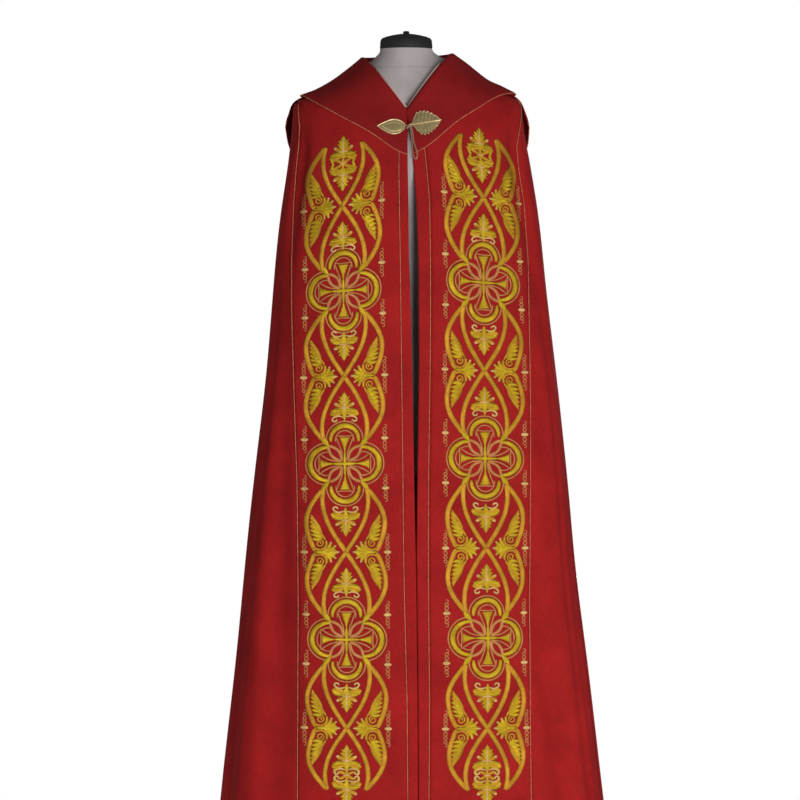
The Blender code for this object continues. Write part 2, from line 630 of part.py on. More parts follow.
def hood_grid():
    """The hood's turns, rings and lifts. It lies close under the collar and stands off below it."""
    edge = table_value(HOOD_EDGE, HOOD_TURNS)
    share = np.linspace(0.0, 1.0, HOOD_ROWS)[:, None]
    rings = HOOD_TOP_RING + (edge[None, :] - HOOD_TOP_RING) * share
    turns = np.repeat(HOOD_TURNS[None, :], HOOD_ROWS, axis=0)
    clear = rings - table_value(COLLAR_EDGE, HOOD_TURNS)[None, :] - 0.25
    reach = np.maximum(edge - table_value(COLLAR_EDGE, HOOD_TURNS) - 0.25, 0.3)[None, :]
    away = np.abs(HOOD_TURNS - 180.0)
    side = (smooth_step((away - 50.0) / 25.0) * smooth_step((91.0 - away) / 7.0))[None, :]
    below = np.clip(clear / reach, 0.0, 1.0)
    back_lift = (HOOD_LIFT_EDGE - HOOD_LIFT_TOP) * below**2
    side_lift = (HOOD_LIFT_SIDE - HOOD_LIFT_TOP) * side * smooth_step(below)
    lifts = HOOD_LIFT_TOP + np.maximum(back_lift, side_lift)
    lifts[0] = HOOD_LIFT_SEAM
    return turns, rings, lifts


def make_hood():
    turns, rings, lifts = hood_grid()
    cloth_wall("hood", turns, rings, "red_cloth", lift=lifts, thickness=0.0018, folds=0.0)
    edge_piping("hood_piping", turns, rings, lifts, 2 * PIPING_HALF_WIDTH)


# ---------------------------------------------------------------- clasp
def on_collar(x, z, height):
    """A point over the collar's face at that x and z, and the face's normal there."""
    turn, ring = chest_place(x, z)
    lift = float(collar_height(turn, ring)) + height
    return lifted(turn, ring, lift, 0.0), drape_normal(turn, ring, 0.0)


def collar_height(turn, ring):
    """The height of the collar's outer face over the cope's middle."""
    edge = table_value(COLLAR_EDGE, turn)
    share = (ring - NECK_RING - 1.0) / (edge - NECK_RING - 1.0)
    return collar_lift(turn) + ROLL_SWELL * np.clip(1 - 2.2 * share, 0.0, 1.0) + 0.0009


def before_collar(x, z, height):
    """A point in front of the collar's face, its height measured along one common direction."""
    return on_collar(x, z, 0.0)[0] + np.array(CLASP_OUT) * height


def before_clasp(x, z, height):
    """A point before the plane between the two leaves, its height along the same direction."""
    y, start, lean = CLASP_PLANE
    return np.array([x, y + lean * (z - start), z]) + np.array(CLASP_OUT) * height


def leaf_outline(length, half_height, body, teeth, tooth_depth):
    """A leaf with a toothed edge, its stem end at 0, as (along, across) all round."""
    share = np.linspace(0.0, 1.0, 4 * teeth + 1)
    shape = np.interp(share, *zip(*body))
    tooth = np.array([0.0, 0.75, 1.0, 0.25] * teeth + [0.0])
    reach = half_height * shape - tooth_depth * (1.0 - tooth) * np.clip(shape * 1.5 - 0.3, 0.0, 1.0)
    reach = np.maximum(reach, 0.0)
    upper = np.stack([share * length, reach], -1)
    lower = (upper * [1, -1])[::-1]
    pointed = upper[:, 1] < 1e-6
    first, last = int(pointed[0]), int(pointed[-1])
    return np.concatenate([upper, lower[last : len(lower) - first]])


def make_leaf(name, stem, tip, half_height, gap, body, teeth, tooth_depth):
    """A leaf plate laid on the collar from its stem to its tip, given as (x, z)."""
    stem, tip = np.array(stem), np.array(tip)
    length = float(np.linalg.norm(tip - stem))
    along = (tip - stem) / length
    across = np.array([-along[1], along[0]])
    outline = leaf_outline(length, half_height, body, teeth, tooth_depth)
    middle = np.array([0.5 * length, 0.0])
    low, high = [], []
    for share in (1.0, 0.55):
        for a, b in middle + (outline - middle) * share:
            x, z = stem + along * a + across * b
            swell = 0.0 if share == 1.0 else 0.0016
            low.append(on_collar(x, z, gap)[0])
            high.append(on_collar(x, z, gap + LEAF_THICKNESS * 0.6 + swell)[0])
    x, z = stem + along * middle[0]
    count = len(outline)
    low.append(on_collar(x, z, gap)[0])
    high.append(on_collar(x, z, gap + LEAF_THICKNESS)[0])
    points = np.array(low + high)
    half = 2 * count + 1
    faces = []
    for j in range(count):
        k = (j + 1) % count
        for base, flip in ((0, False), (half, True)):
            quad = (base + j, base + k, base + count + k, base + count + j)
            tri = (base + count + j, base + count + k, base + 2 * count)
            faces += [quad[::-1], tri[::-1]] if flip else [quad, tri]
        faces.append((j, half + j, half + k, k))
    add_object(name, points, faces, "clasp_metal")


RIGHT_LEAF = {
    "stem": (-0.0102, 1.4850), "tip": (-0.0680, 1.4880), "half_height": 0.0165, "gap": 0.0012,
    "body": (
        (0.0, 0.26), (0.06, 0.52), (0.16, 0.80), (0.30, 0.98), (0.42, 1.0), (0.58, 0.86),
        (0.76, 0.54), (0.90, 0.25), (1.0, 0.0),
    ),
}
LEFT_LEAF = {
    "stem": (0.0022, 1.4890), "tip": (0.0683, 1.5008), "half_height": 0.0264, "gap": 0.0015,
    "body": (
        (0.0, 0.04), (0.12, 0.09), (0.17, 0.42), (0.22, 0.80), (0.31, 0.96), (0.42, 1.0),
        (0.56, 0.93), (0.72, 0.70), (0.87, 0.38), (1.0, 0.0),
    ),
}


def make_wire(name, route, radius, material_name, sides=6):
    """A round wire along a smooth line of points."""
    at = np.linspace(0, len(route) - 1, (len(route) - 1) * 3 + 1)
    points = spline(np.asarray(route, float), at)
    normals = np.repeat([[0.0, -1.0, 0.15]], len(points), axis=0)
    bead(name, points, normals, radius, 2 * radius, material_name, sides)


# The clasp's small wire parts: the eye and the hook between the two leaves, each place given as
# (x, z, height over the plane before them), and the chain that hangs from the left one, given as
# (x, z, height over the collar's face).
EYE_ROUTE = (
    (-0.0063, 1.4901, 0.0020), (-0.0048, 1.4904, 0.0022), (-0.0032, 1.4900, 0.0022),
    (-0.0018, 1.4890, 0.0022), (-0.0012, 1.4876, 0.0022), (-0.0018, 1.4862, 0.0022),
    (-0.0032, 1.4852, 0.0022), (-0.0048, 1.4848, 0.0022), (-0.0063, 1.4851, 0.0020),
)
HOOK_ROUTE = (
    (0.0048, 1.4884, 0.0042), (0.0023, 1.4877, 0.0046), (-0.0009, 1.4873, 0.0047),
    (-0.0036, 1.4874, 0.0034), (-0.0042, 1.4879, 0.0014),
)
CHAIN_ROUTE = (
    (0.0057, 1.4851, 0.0044), (0.0074, 1.4780, 0.0044), (0.0085, 1.4700, 0.0042),
    (0.0090, 1.4620, 0.0040), (0.0102, 1.4530, 0.0040), (0.0130, 1.4430, 0.0040),
    (0.0160, 1.4345, 0.0040), (0.0171, 1.4275, 0.0040), (0.0164, 1.4215, 0.0040),
    (0.0138, 1.4185, 0.0040), (0.0106, 1.4205, 0.0040), (0.0086, 1.4265, 0.0040),
    (0.0075, 1.4350, 0.0040), (0.0070, 1.4450, 0.0040), (0.0064, 1.4560, 0.0040),
    (0.0054, 1.4670, 0.0042), (0.0044, 1.4760, 0.0044), (0.0036, 1.4829, 0.0046),
)


def make_clasp():
    make_leaf("right_clasp_leaf", teeth=5, tooth_depth=0.0022, **RIGHT_LEAF)
    make_leaf("left_clasp_leaf", teeth=6, tooth_depth=0.0062, **LEFT_LEAF)
    for name, route, radius, place_of in (
        ("clasp_eye", EYE_ROUTE, WIRE_RADIUS, before_clasp),
        ("clasp_hook", HOOK_ROUTE, WIRE_RADIUS, before_clasp),
        ("clasp_chain", CHAIN_ROUTE, CHAIN_RADIUS, before_collar),
    ):
        make_wire(name, [place_of(*place) for place in route], radius, "clasp_metal")


# ---------------------------------------------------------------- form and stand
FORM_TURNS = np.arange(FORM_SIDES) * 360.0 / FORM_SIDES


def form_ring(row):
    columns = dict(zip(FORM_COLUMNS, row))
    columns["right_x"] = columns["left_x"] = columns.pop("side_x")
    columns["right_z"] = columns["left_z"] = columns.pop("side_z")
    columns["front_x"] = 0.0
    columns = {name: np.full(FORM_SIDES, value) for name, value in columns.items()}
    return rounded_ring(columns, FORM_TURNS)[0]


def make_form():
    depth = CLOTH / 2 + FORM_GAP
    rings = [
        form_ring(row) + [share * NECK_LEAN, 0.0, 0.0]
        for row, share in zip(FORM_NECK, NECK_LEANS)
    ]
    for ring in FORM_SHOULDER_RINGS:
        at = np.full(FORM_SIDES, ring)
        rings.append(lifted(FORM_TURNS, at, np.full(FORM_SIDES, -depth), 0.0))
    rings += [form_ring(row) for row in FORM_TORSO]
    stacked_rings("form_body", rings, "form_jersey")


def make_cap():
    low = NECK_TOP_Z + SEAM
    turned("neck_cap", (
        (0.006, CAP_TOP_Z), (0.012, CAP_TOP_Z - 0.004), (0.030, CAP_TOP_Z - 0.008),
        (0.046, CAP_TOP_Z - 0.011), (0.0505, CAP_TOP_Z - 0.015), (0.0530, low + 0.010),
        (0.0550, low),
    ), "black_cap", FORM_SIDES, NECK_LEAN)


def make_stand():
    turned("stand_base", (
        (HUB_RADIUS * 0.8, HUB_TOP_Z), (HUB_RADIUS, HUB_TOP_Z - 0.005),
        (HUB_RADIUS, BASE_THICKNESS + 0.004), (HUB_RADIUS + 0.006, BASE_THICKNESS),
        (BASE_RADIUS - 0.006, BASE_THICKNESS), (BASE_RADIUS, BASE_THICKNESS - 0.006),
        (BASE_RADIUS, 0.002), (BASE_RADIUS - 0.002, 0.0),
    ), "stand_metal", 48)
    turned("stand_pole", (
        (POLE_RADIUS, TORSO_FLOOR_Z - SEAM), (POLE_RADIUS, HUB_TOP_Z + SEAM),
    ), "stand_metal", 24)


def main():
    for old in list(bpy.data.objects):
        bpy.data.objects.remove(old)
    for side in ("right", "left"):
        make_edge_band(side)
        make_orphrey(side)
        make_side_cloth(side)
        make_back(side)
        make_front_piping(side, "line", 3.74)
        make_front_piping(side, "seam", 5.5)
    make_hood()
    make_collar()
    make_facing()
    make_clasp()
    make_form()
    make_cap()
    make_stand()


main()
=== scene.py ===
"""Looks of a red cope with gold embroidery, on a dress form with a round stand.

Metres, +Z up. The front faces -Y, and the wearer's left is +X. The cloth is laid along one
surface, the cope's drape. A place on it is (turn, ring): turn is the angle round the body in
degrees, 0 at the front opening, 90 at the wearer's left and -90 at the right, and ring counts down
the rows of RINGS.
"""

import math

import bpy
import numpy as np
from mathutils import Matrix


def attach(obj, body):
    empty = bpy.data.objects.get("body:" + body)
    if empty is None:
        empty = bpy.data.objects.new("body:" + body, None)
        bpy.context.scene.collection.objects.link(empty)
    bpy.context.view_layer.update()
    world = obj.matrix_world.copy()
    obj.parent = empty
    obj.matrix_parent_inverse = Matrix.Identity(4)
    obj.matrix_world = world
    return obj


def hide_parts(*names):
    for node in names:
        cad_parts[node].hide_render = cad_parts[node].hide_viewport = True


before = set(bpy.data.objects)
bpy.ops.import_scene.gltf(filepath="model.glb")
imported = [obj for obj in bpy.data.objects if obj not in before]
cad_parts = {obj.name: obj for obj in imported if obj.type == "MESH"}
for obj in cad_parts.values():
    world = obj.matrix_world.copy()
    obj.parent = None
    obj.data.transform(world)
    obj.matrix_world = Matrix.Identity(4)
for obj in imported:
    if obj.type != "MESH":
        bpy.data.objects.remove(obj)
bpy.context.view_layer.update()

# ---------------------------------------------------------------- driving sizes, metres
CLOTH = 0.0020
COLLAR_CLOTH = 0.0018
FACING_CLOTH = 0.0014
SEAM = 0.0003
SEAM_HALF = 0.0002
FORM_GAP = 0.0016
HEM_Z = 0.040
PIPING_RADIUS = 0.00125
PIPING_PITCH = 0.0062
PIPING_RISE = 0.72  # of its radius, the height of its middle over the cloth
CORD_OUT = 0.0014  # from a collar's or hood's edge to the middle of its cord
NECK_TOP_RADIUS = 0.0550
NECK_TOP_Z = 1.657
NECK_LEAN = -0.0060  # how far the neck's top stands towards the wearer's right
TORSO_FLOOR_Z = 0.760
POLE_RADIUS = 0.0125
BASE_RADIUS, BASE_THICKNESS = 0.190, 0.012
HUB_RADIUS, HUB_TOP_Z = 0.030, 0.040

# The drape, row by row. At its sides a row reaches right_x at right_z and left_x at left_z. At the
# front and back centre it reaches front_y and back_y, at front_z and back_z. square is the power of
# its rounded plan, 2 for an ellipse. dip shapes its fall towards the front, 1 for a straight V.
RING_COLUMNS = (
    "right_x", "left_x", "right_z", "left_z", "front_x", "front_y", "front_z", "back_y", "back_z",
    "square", "dip",
)
RINGS = (
    (0.083, 0.076, 1.631, 1.639, -0.005, 0.089, 1.523, 0.066, 1.637, 2.00, 1.0),  # facing's top
    (0.091, 0.084, 1.626, 1.634, -0.005, 0.098, 1.509, 0.074, 1.632, 2.00, 1.0),  # neck seam
    (0.114, 0.116, 1.612, 1.616, -0.004, 0.113, 1.484, 0.098, 1.612, 2.05, 1.1),
    (0.149, 0.157, 1.587, 1.5845, -0.0025, 0.127, 1.455, 0.122, 1.576, 2.15, 1.3),
    (0.190, 0.194, 1.5635, 1.567, -0.001, 0.139, 1.415, 0.141, 1.533, 2.25, 1.5),
    (0.2365, 0.229, 1.5435, 1.5455, 0.0, 0.148, 1.375, 0.155, 1.480, 2.35, 1.7),  # shoulder tip
    (0.2435, 0.2375, 1.513, 1.513, 0.0, 0.154, 1.340, 0.166, 1.425, 2.40, 1.9),
    (0.2465, 0.242, 1.473, 1.473, 0.0, 0.159, 1.300, 0.176, 1.370, 2.45, 2.0),
    (0.254, 0.254, 1.410, 1.410, 0.0, 0.162, 1.255, 0.186, 1.310, 2.50, 2.0),
    (0.271, 0.273, 1.290, 1.290, 0.0, 0.166, 1.185, 0.202, 1.225, 2.55, 2.0),  # ribs
    (0.285, 0.289, 1.140, 1.140, 0.0, 0.169, 1.080, 0.224, 1.100, 2.55, 2.0),  # waist
    (0.300, 0.310, 0.950, 0.950, 0.0, 0.172, 0.930, 0.252, 0.938, 2.55, 2.0),
    (0.321, 0.330, 0.750, 0.750, 0.0, 0.177, 0.745, 0.281, 0.748, 2.55, 2.0),  # knee
    (0.343, 0.347, 0.550, 0.550, 0.0, 0.182, 0.550, 0.308, 0.550, 2.50, 2.0),
    (0.363, 0.371, 0.350, 0.350, 0.0, 0.187, 0.350, 0.334, 0.350, 2.45, 2.0),
    (0.383, 0.396, 0.155, 0.155, 0.0, 0.192, 0.155, 0.359, 0.155, 2.40, 2.0),
    (0.394, 0.411, HEM_Z, HEM_Z, 0.0, 0.195, HEM_Z, 0.372, HEM_Z, 2.40, 2.0),  # hem
)
NECK_RING, HEM_RING = 1, len(RINGS) - 1

# Where the seams of the two fronts run, as x at each height: the seam between the side cloth and
# the orphrey, the line between the orphrey and the edge band, and the front edge, for each side.
FRONT_COLUMNS = (
    "z", "right_seam", "right_line", "right_edge", "left_edge", "left_line", "left_seam",
)
FRONT_LINES = (
    (1.560, -0.233, -0.0180, -0.0015, 0.0015, 0.0230, 0.231),
    (1.520, -0.2295, -0.0190, -0.0018, 0.0026, 0.0254, 0.2340),
    (1.490, -0.2269, -0.0197, -0.0021, 0.0037, 0.0274, 0.2300),
    (1.447, -0.2297, -0.0206, -0.0034, 0.0062, 0.0315, 0.2230),
    (1.400, -0.2350, -0.0215, -0.0030, 0.0095, 0.0365, 0.2280),
    (1.330, -0.240, -0.0205, -0.0014, 0.0150, 0.0425, 0.239),
    (1.210, -0.243, -0.0185, -0.0004, 0.0190, 0.0440, 0.246),
    (1.100, -0.243, -0.0170, 0.0035, 0.0200, 0.0440, 0.248),
    (1.000, -0.240, -0.0160, 0.0060, 0.0204, 0.0435, 0.250),
    (0.900, -0.237, -0.0145, 0.0078, 0.0192, 0.0420, 0.251),
    (0.750, -0.232, -0.0130, 0.0103, 0.0172, 0.0400, 0.251),
    (0.600, -0.230, -0.0115, 0.0133, 0.0153, 0.0395, 0.250),
    (0.500, -0.229, -0.0097, 0.0150, 0.0167, 0.0400, 0.248),
    (0.300, -0.230, -0.0045, 0.0170, 0.0187, 0.0420, 0.250),
    (0.040, -0.231, -0.0025, 0.0183, 0.0200, 0.0405, 0.253),
)

# The large folds. Each is a soft furrow (depth below 0) or ridge of the given half width in
# degrees, running from top_turn at top_z to low_turn at the hem. It deepens from top_z down to
# full_z, and fades out again by end_z.
FOLD_COLUMNS = ("top_turn", "low_turn", "half_width", "depth", "top_z", "full_z", "end_z")
FOLDS = (
    (-62.0, -60.0, 11.0, -0.0120, 1.520, 1.400, 1.060),  # tuck beside the right orphrey
    (62.0, 62.0, 11.0, -0.0140, 1.520, 1.380, 0.980),  # and beside the left one
    (-58.0, -39.0, 15.0, -0.0150, 1.050, 0.450, -1.0),  # furrow of the right side
    (44.0, 52.0, 13.0, -0.0170, 0.620, 0.360, -1.0),  # furrow of the left side
    (-84.0, -80.0, 11.0, -0.0110, 1.250, 0.500, -1.0),
    (80.0, 83.0, 10.0, -0.0110, 1.150, 0.450, -1.0),
    (-104.0, -103.0, 12.0, -0.0400, 1.420, 0.300, -1.0),
    (102.0, 104.0, 12.0, -0.0380, 1.400, 0.350, -1.0),
    (-127.0, -128.0, 12.5, -0.0500, 1.300, 0.250, -1.0),
    (126.0, 129.0, 12.5, -0.0520, 1.280, 0.200, -1.0),
    (-151.0, -153.0, 12.5, -0.0480, 1.200, 0.250, -1.0),
    (152.0, 154.0, 12.5, -0.0460, 1.220, 0.300, -1.0),
    (177.0, 180.0, 13.0, -0.0440, 1.150, 0.200, -1.0),
)

# The collar's outer edge, the ring that it reaches at each turn, on the right side and the left.
COLLAR_COLUMNS = ("turn", "right_ring", "left_ring")
COLLAR_EDGE = (
    (0.0, 3.62, 3.62), (8.0, 3.62, 3.60), (18.0, 3.55, 3.53), (28.0, 3.64, 3.44),
    (37.0, 3.80, 3.50), (46.0, 3.99, 3.66), (56.0, 4.17, 3.81), (66.0, 4.35, 3.96),
    (75.0, 4.46, 4.14), (84.0, 4.60, 4.50), (92.0, 4.68, 4.66), (104.0, 4.66, 4.64),
    (118.0, 4.50, 4.46), (134.0, 4.18, 4.14), (155.0, 3.82, 3.82), (180.0, 3.72, 3.72),
)
# Its section from the neck roll outwards: rings from the neck seam and height over the cope.
ROLL_COLUMNS = ("ring", "height")
COLLAR_ROLL = (
    (-0.30, 0.0034), (-0.36, 0.0068), (-0.18, 0.0098), (0.10, 0.0100), (0.45, 0.0076),
    (1.00, 0.0048),
)
COLLAR_RAISE = (0.0, 0.25, 0.55, 0.80, 0.95, 1.0)  # each place's share of the rise over the hood
COLLAR_FRONT_X = (  # the wings' front edges: height, right x, left x
    (1.540, -0.0050, -0.0030), (1.490, -0.0045, 0.0010), (1.460, -0.0040, 0.0045),
    (1.428, -0.0030, 0.0125),
)
COLLAR_LIFT_FRONT = 0.0032  # mid wall of the collar over mid wall of the cope, at the front
COLLAR_LIFT_BACK = 0.0100  # and at the back, where the hood lies between them
ROLL_SWELL = COLLAR_ROLL[-1][1] - COLLAR_LIFT_FRONT
ROLL_FADE = 2.2  # the swell is gone after 1 / 2.2 of the way to the edge
COLLAR_PUFF = 0.0009
# The facing's section, as ring and height: its top edge rolls out beside the collar's roll.
FACING_ROLL = (
    (0.08, 0.0064), (0.20, 0.0072), (0.34, 0.0060), (0.50, 0.0016), (0.66, -0.0011),
    (0.94, -0.0011),
)
FACING_FLAT = FACING_ROLL[-1][1]  # it lies flat at the neck's sides and back

# The hood, a rounded shield on the back. Its lower edge, the ring that it reaches at each turn.
HOOD_EDGE = (
    (92.0, 6.05), (98.0, 6.75), (108.0, 7.30), (122.0, 7.90), (138.0, 8.70), (155.0, 9.45),
    (170.0, 9.92), (180.0, 10.05),
)
HOOD_TOP_RING = 2.5
HOOD_LIFT_SEAM = 0.0026  # mid wall of the hood over mid wall of the back, where it is sewn on
HOOD_LIFT_TOP = 0.0047
HOOD_LIFT_EDGE = 0.0120
HOOD_LIFT_SIDE = 0.0150  # its sides stand off a little more, just behind the shoulder
HOOD_RIPPLE = 0.0012

# The form above and below the cloth that it carries.
FORM_COLUMNS = (
    "side_x", "side_z", "front_y", "front_z", "back_y", "back_z", "square", "dip",
)
FORM_NECK = (
    (NECK_TOP_RADIUS, NECK_TOP_Z, 0.0550, NECK_TOP_Z, 0.0550, NECK_TOP_Z, 2.0, 2.0),
    (0.0560, 1.6520, 0.0600, 1.6250, 0.0560, 1.6500, 2.0, 1.8),
    (0.0600, 1.6470, 0.0660, 1.5950, 0.0570, 1.6460, 2.0, 1.5),
    (0.0680, 1.6405, 0.0760, 1.5630, 0.0595, 1.6420, 2.0, 1.2),
)
NECK_LEANS = (1.0, 0.9, 0.65, 0.35)  # the share of the lean in each of those rows
FORM_SHOULDER_RINGS = (0.0, 0.5, 1.0, 1.5, 2.0, 2.5, 3.0, 3.5, 4.0, 4.4)
FORM_TORSO = (
    (0.2130, 1.5320, 0.1390, 1.3790, 0.1460, 1.4750, 2.3, 1.7),
    (0.2080, 1.4900, 0.1330, 1.3480, 0.1440, 1.4200, 2.3, 1.8),
    (0.1960, 1.4250, 0.1290, 1.3100, 0.1390, 1.3600, 2.3, 2.0),
    (0.1830, 1.3450, 0.1250, 1.2650, 0.1330, 1.2950, 2.3, 2.0),
    (0.1710, 1.2350, 0.1170, 1.1950, 0.1200, 1.2100, 2.2, 2.0),
    (0.1600, 1.1000, 0.1080, 1.0950, 0.1040, 1.1000, 2.1, 2.0),  # waist
    (0.1680, 1.0000, 0.1120, 1.0000, 0.1120, 1.0000, 2.1, 2.0),
    (0.1790, 0.9000, 0.1180, 0.9000, 0.1260, 0.9000, 2.2, 2.0),  # hips
    (0.1800, 0.8200, 0.1160, 0.8200, 0.1240, 0.8200, 2.2, 2.0),
    (0.1740, 0.7720, 0.1110, 0.7720, 0.1170, 0.7720, 2.2, 2.0),
    (0.1660, TORSO_FLOOR_Z, 0.1040, TORSO_FLOOR_Z, 0.1090, TORSO_FLOOR_Z, 2.2, 2.0),
)
CAP_PROFILE = (  # the cap on the neck, as radius and height over the neck's top
    (0.0545, 0.0006), (0.0552, 0.0020), (0.0548, 0.0110), (0.0538, 0.0185), (0.0510, 0.0222),
    (0.0440, 0.0252), (0.0300, 0.0288), (0.0160, 0.0312), (0.0075, 0.0320), (0.0062, 0.0335),
    (0.0066, 0.0358), (0.0048, 0.0376), (0.0, 0.0380),
)

# Small creases that only show close by, laid over the large folds in the same way.
CREASES = (
    (-40.0, -36.0, 5.0, -0.0022, 1.150, 0.700, 0.250),
    (-25.0, -22.0, 6.0, 0.0018, 1.250, 0.900, 0.300),
    (22.0, 20.0, 6.0, 0.0018, 1.200, 0.800, 0.350),
    (38.0, 33.0, 5.0, -0.0022, 1.050, 0.650, 0.200),
    (-72.0, -70.0, 6.0, -0.0050, 1.300, 0.800, -1.0),
    (70.0, 68.0, 6.0, -0.0050, 1.350, 0.750, -1.0),
    (-93.0, -92.0, 5.0, 0.0050, 1.250, 0.600, -1.0),
    (92.0, 93.0, 5.0, 0.0050, 1.200, 0.550, -1.0),
    (-115.0, -114.0, 5.0, -0.0070, 1.100, 0.400, -1.0),
    (113.0, 115.0, 5.0, -0.0060, 1.150, 0.450, -1.0),
    (-140.0, -141.0, 5.0, -0.0080, 1.000, 0.350, -1.0),
    (139.0, 142.0, 5.0, -0.0070, 1.050, 0.400, -1.0),
    (-166.0, -168.0, 5.0, -0.0070, 0.950, 0.300, -1.0),
    (166.0, 168.0, 5.0, -0.0080, 0.900, 0.350, -1.0),
)
NECK_SEAM_Z, NECK_SEAM_WIDTH = 1.6165, 0.0011  # a seam of the form's cover, round the neck
KNIT_WALES, KNIT_COURSE = 640.0, 0.0009  # the cover's wales round the form, and a course's height
SEAM_GREY = (0.20, 0.18, 0.175)
GOLD_THREAD = 0.00045  # from one row of gold thread to the next
EDGE_BROWN = (0.085, 0.022, 0.004)  # the rows in the shade at a stitched shape's edge

# Slow waves of the cloth between its folds.
WAVE_COLUMNS = ("round", "down", "phase", "height")
WAVES = ((7.0, 0.9, 0.6, 0.0011), (13.0, 1.7, 2.1, 0.0008), (23.0, 0.7, 4.0, 0.0005))
WAVES_START_Z, WAVES_GROW = 1.48, 0.35  # they begin below this height, and grow over this much

# ---------------------------------------------------------------- the drape as a function
def smooth_step(t):
    t = np.clip(t, 0.0, 1.0)
    return t * t * (3.0 - 2.0 * t)


def spline(rows, at):
    """Catmull-Rom through evenly counted rows, at the row numbers given."""
    rows = np.asarray(rows, float)
    at = np.clip(np.asarray(at, float), 0.0, len(rows) - 1.0)
    i = np.minimum(at.astype(int), len(rows) - 2)
    t = (at - i).reshape(at.shape + (1,) * (rows.ndim - 1))
    before, start = rows[np.maximum(i - 1, 0)], rows[i]
    end, after = rows[i + 1], rows[np.minimum(i + 2, len(rows) - 1)]
    out_of, into = (end - before) / 2, (after - start) / 2
    return (
        start * (2 * t**3 - 3 * t**2 + 1) + out_of * (t**3 - 2 * t**2 + t)
        + end * (3 * t**2 - 2 * t**3) + into * (t**3 - t**2)
    )


def curve(points, count):
    """A smooth line of count places through a few."""
    return spline(points, np.linspace(0, len(points) - 1, count))


def finer(points, steps):
    """A smooth line through points, with so many steps between each two."""
    return curve(points, (len(points) - 1) * steps + 1)


def by_name(names, row):
    return dict(zip(names, row))


def rounded_ring(columns, turn):
    """A point of a rounded ring at each turn, from its columns by name, and its plan normal."""
    angle = np.radians(turn)
    sine, cosine = np.sin(angle), np.cos(angle)
    power = 2.0 / columns["square"]
    across, along = np.abs(sine) ** power, np.abs(cosine) ** power
    reach_x = np.where(sine < 0, columns["right_x"], columns["left_x"])
    reach_y = np.where(cosine > 0, columns["front_y"], columns["back_y"])
    side_z = np.where(sine < 0, columns["right_z"], columns["left_z"])
    far_z = np.where(cosine > 0, columns["front_z"], columns["back_z"])
    bend = np.where(cosine > 0, columns["dip"], 2.0)
    shift = np.where(cosine > 0, columns["front_x"], 0.0)
    x = np.sign(sine) * reach_x * across + shift * (1.0 - across)
    y = -np.sign(cosine) * reach_y * along
    z = side_z + (far_z - side_z) * (1.0 - across**bend)
    steep = columns["square"] - 1.0
    nx = np.sign(sine) * across**steep / reach_x
    ny = -np.sign(cosine) * along**steep / reach_y
    size = np.maximum(np.hypot(nx, ny), 1e-9)
    return np.stack([x, y, z], -1), np.stack([nx / size, ny / size, np.zeros_like(nx)], -1)


def fold_depth(table, turn, z):
    total = np.zeros(np.broadcast(turn, z).shape)
    for row in table:
        fold = by_name(FOLD_COLUMNS, row)
        down = np.clip((fold["top_z"] - z) / (fold["top_z"] - HEM_Z), 0.0, 1.0)
        centre = fold["top_turn"] + (fold["low_turn"] - fold["top_turn"]) * down
        away = (turn - centre + 180.0) % 360.0 - 180.0
        bump = 0.5 + 0.5 * np.cos(np.pi * np.clip(away / fold["half_width"], -1.0, 1.0))
        grown = smooth_step((fold["top_z"] - z) / (fold["top_z"] - fold["full_z"]))
        if fold["end_z"] > 0:
            grown = grown * smooth_step((z - fold["end_z"]) / (fold["full_z"] - fold["end_z"]))
        total = total + fold["depth"] * bump * grown
    return total


def waves(turn, z):
    angle, total = np.radians(turn), 0.0
    for row in WAVES:
        wave = by_name(WAVE_COLUMNS, row)
        total = total + wave["height"] * np.sin(
            wave["round"] * angle + wave["down"] * 2 * np.pi * z + wave["phase"])
    return total * smooth_step((WAVES_START_Z - z) / WAVES_GROW)


def drape(turn, ring, folds=1.0):
    """The middle of the cope's wall."""
    turn, ring = np.broadcast_arrays(np.asarray(turn, float), np.asarray(ring, float))
    columns = by_name(RING_COLUMNS, np.moveaxis(spline(RINGS, ring), -1, 0))
    point, outward = rounded_ring(columns, turn)
    if folds:
        z = point[..., 2]
        depth = fold_depth(FOLDS, turn, z) + fold_depth(CREASES, turn, z) + waves(turn, z)
        point = point + outward * (folds * depth)[..., None]
    return point


def drape_normal(turn, ring, folds=1.0):
    step_turn, step_ring = 0.25, 0.02
    ring = np.asarray(ring, float)
    low, high = np.maximum(ring - step_ring, 0.0), np.minimum(ring + step_ring, HEM_RING)
    round_it = drape(turn + step_turn, ring, folds) - drape(turn - step_turn, ring, folds)
    down_it = drape(turn, high, folds) - drape(turn, low, folds)
    normal = np.cross(down_it, round_it)
    return normal / np.maximum(np.linalg.norm(normal, axis=-1, keepdims=True), 1e-12)


def lifted(turn, ring, height, folds=1.0):
    """A point over the drape, height measured square to it."""
    lift = np.asarray(height, float)[..., None]
    return drape(turn, ring, folds) + drape_normal(turn, ring, folds) * lift


def front_line(name, z):
    heights = [row[0] for row in FRONT_LINES][::-1]
    values = [row[FRONT_COLUMNS.index(name)] for row in FRONT_LINES][::-1]
    return np.interp(z, heights, values)


SCAN = np.linspace(-90.0, 90.0, 1441)


def turn_of_line(name, ring, shift=0.0):
    """The turn where a front line, moved by shift, crosses a ring, or the side where it doesn't."""
    points = drape(SCAN, np.full_like(SCAN, ring))
    beyond = points[:, 0] - (front_line(name, points[:, 2]) + shift)
    if beyond[0] > 0:
        return -90.0
    if beyond[-1] < 0:
        return 90.0
    i = int(np.argmax(beyond > 0))
    return float(np.interp(0.0, beyond[i - 1 : i + 1], SCAN[i - 1 : i + 1]))


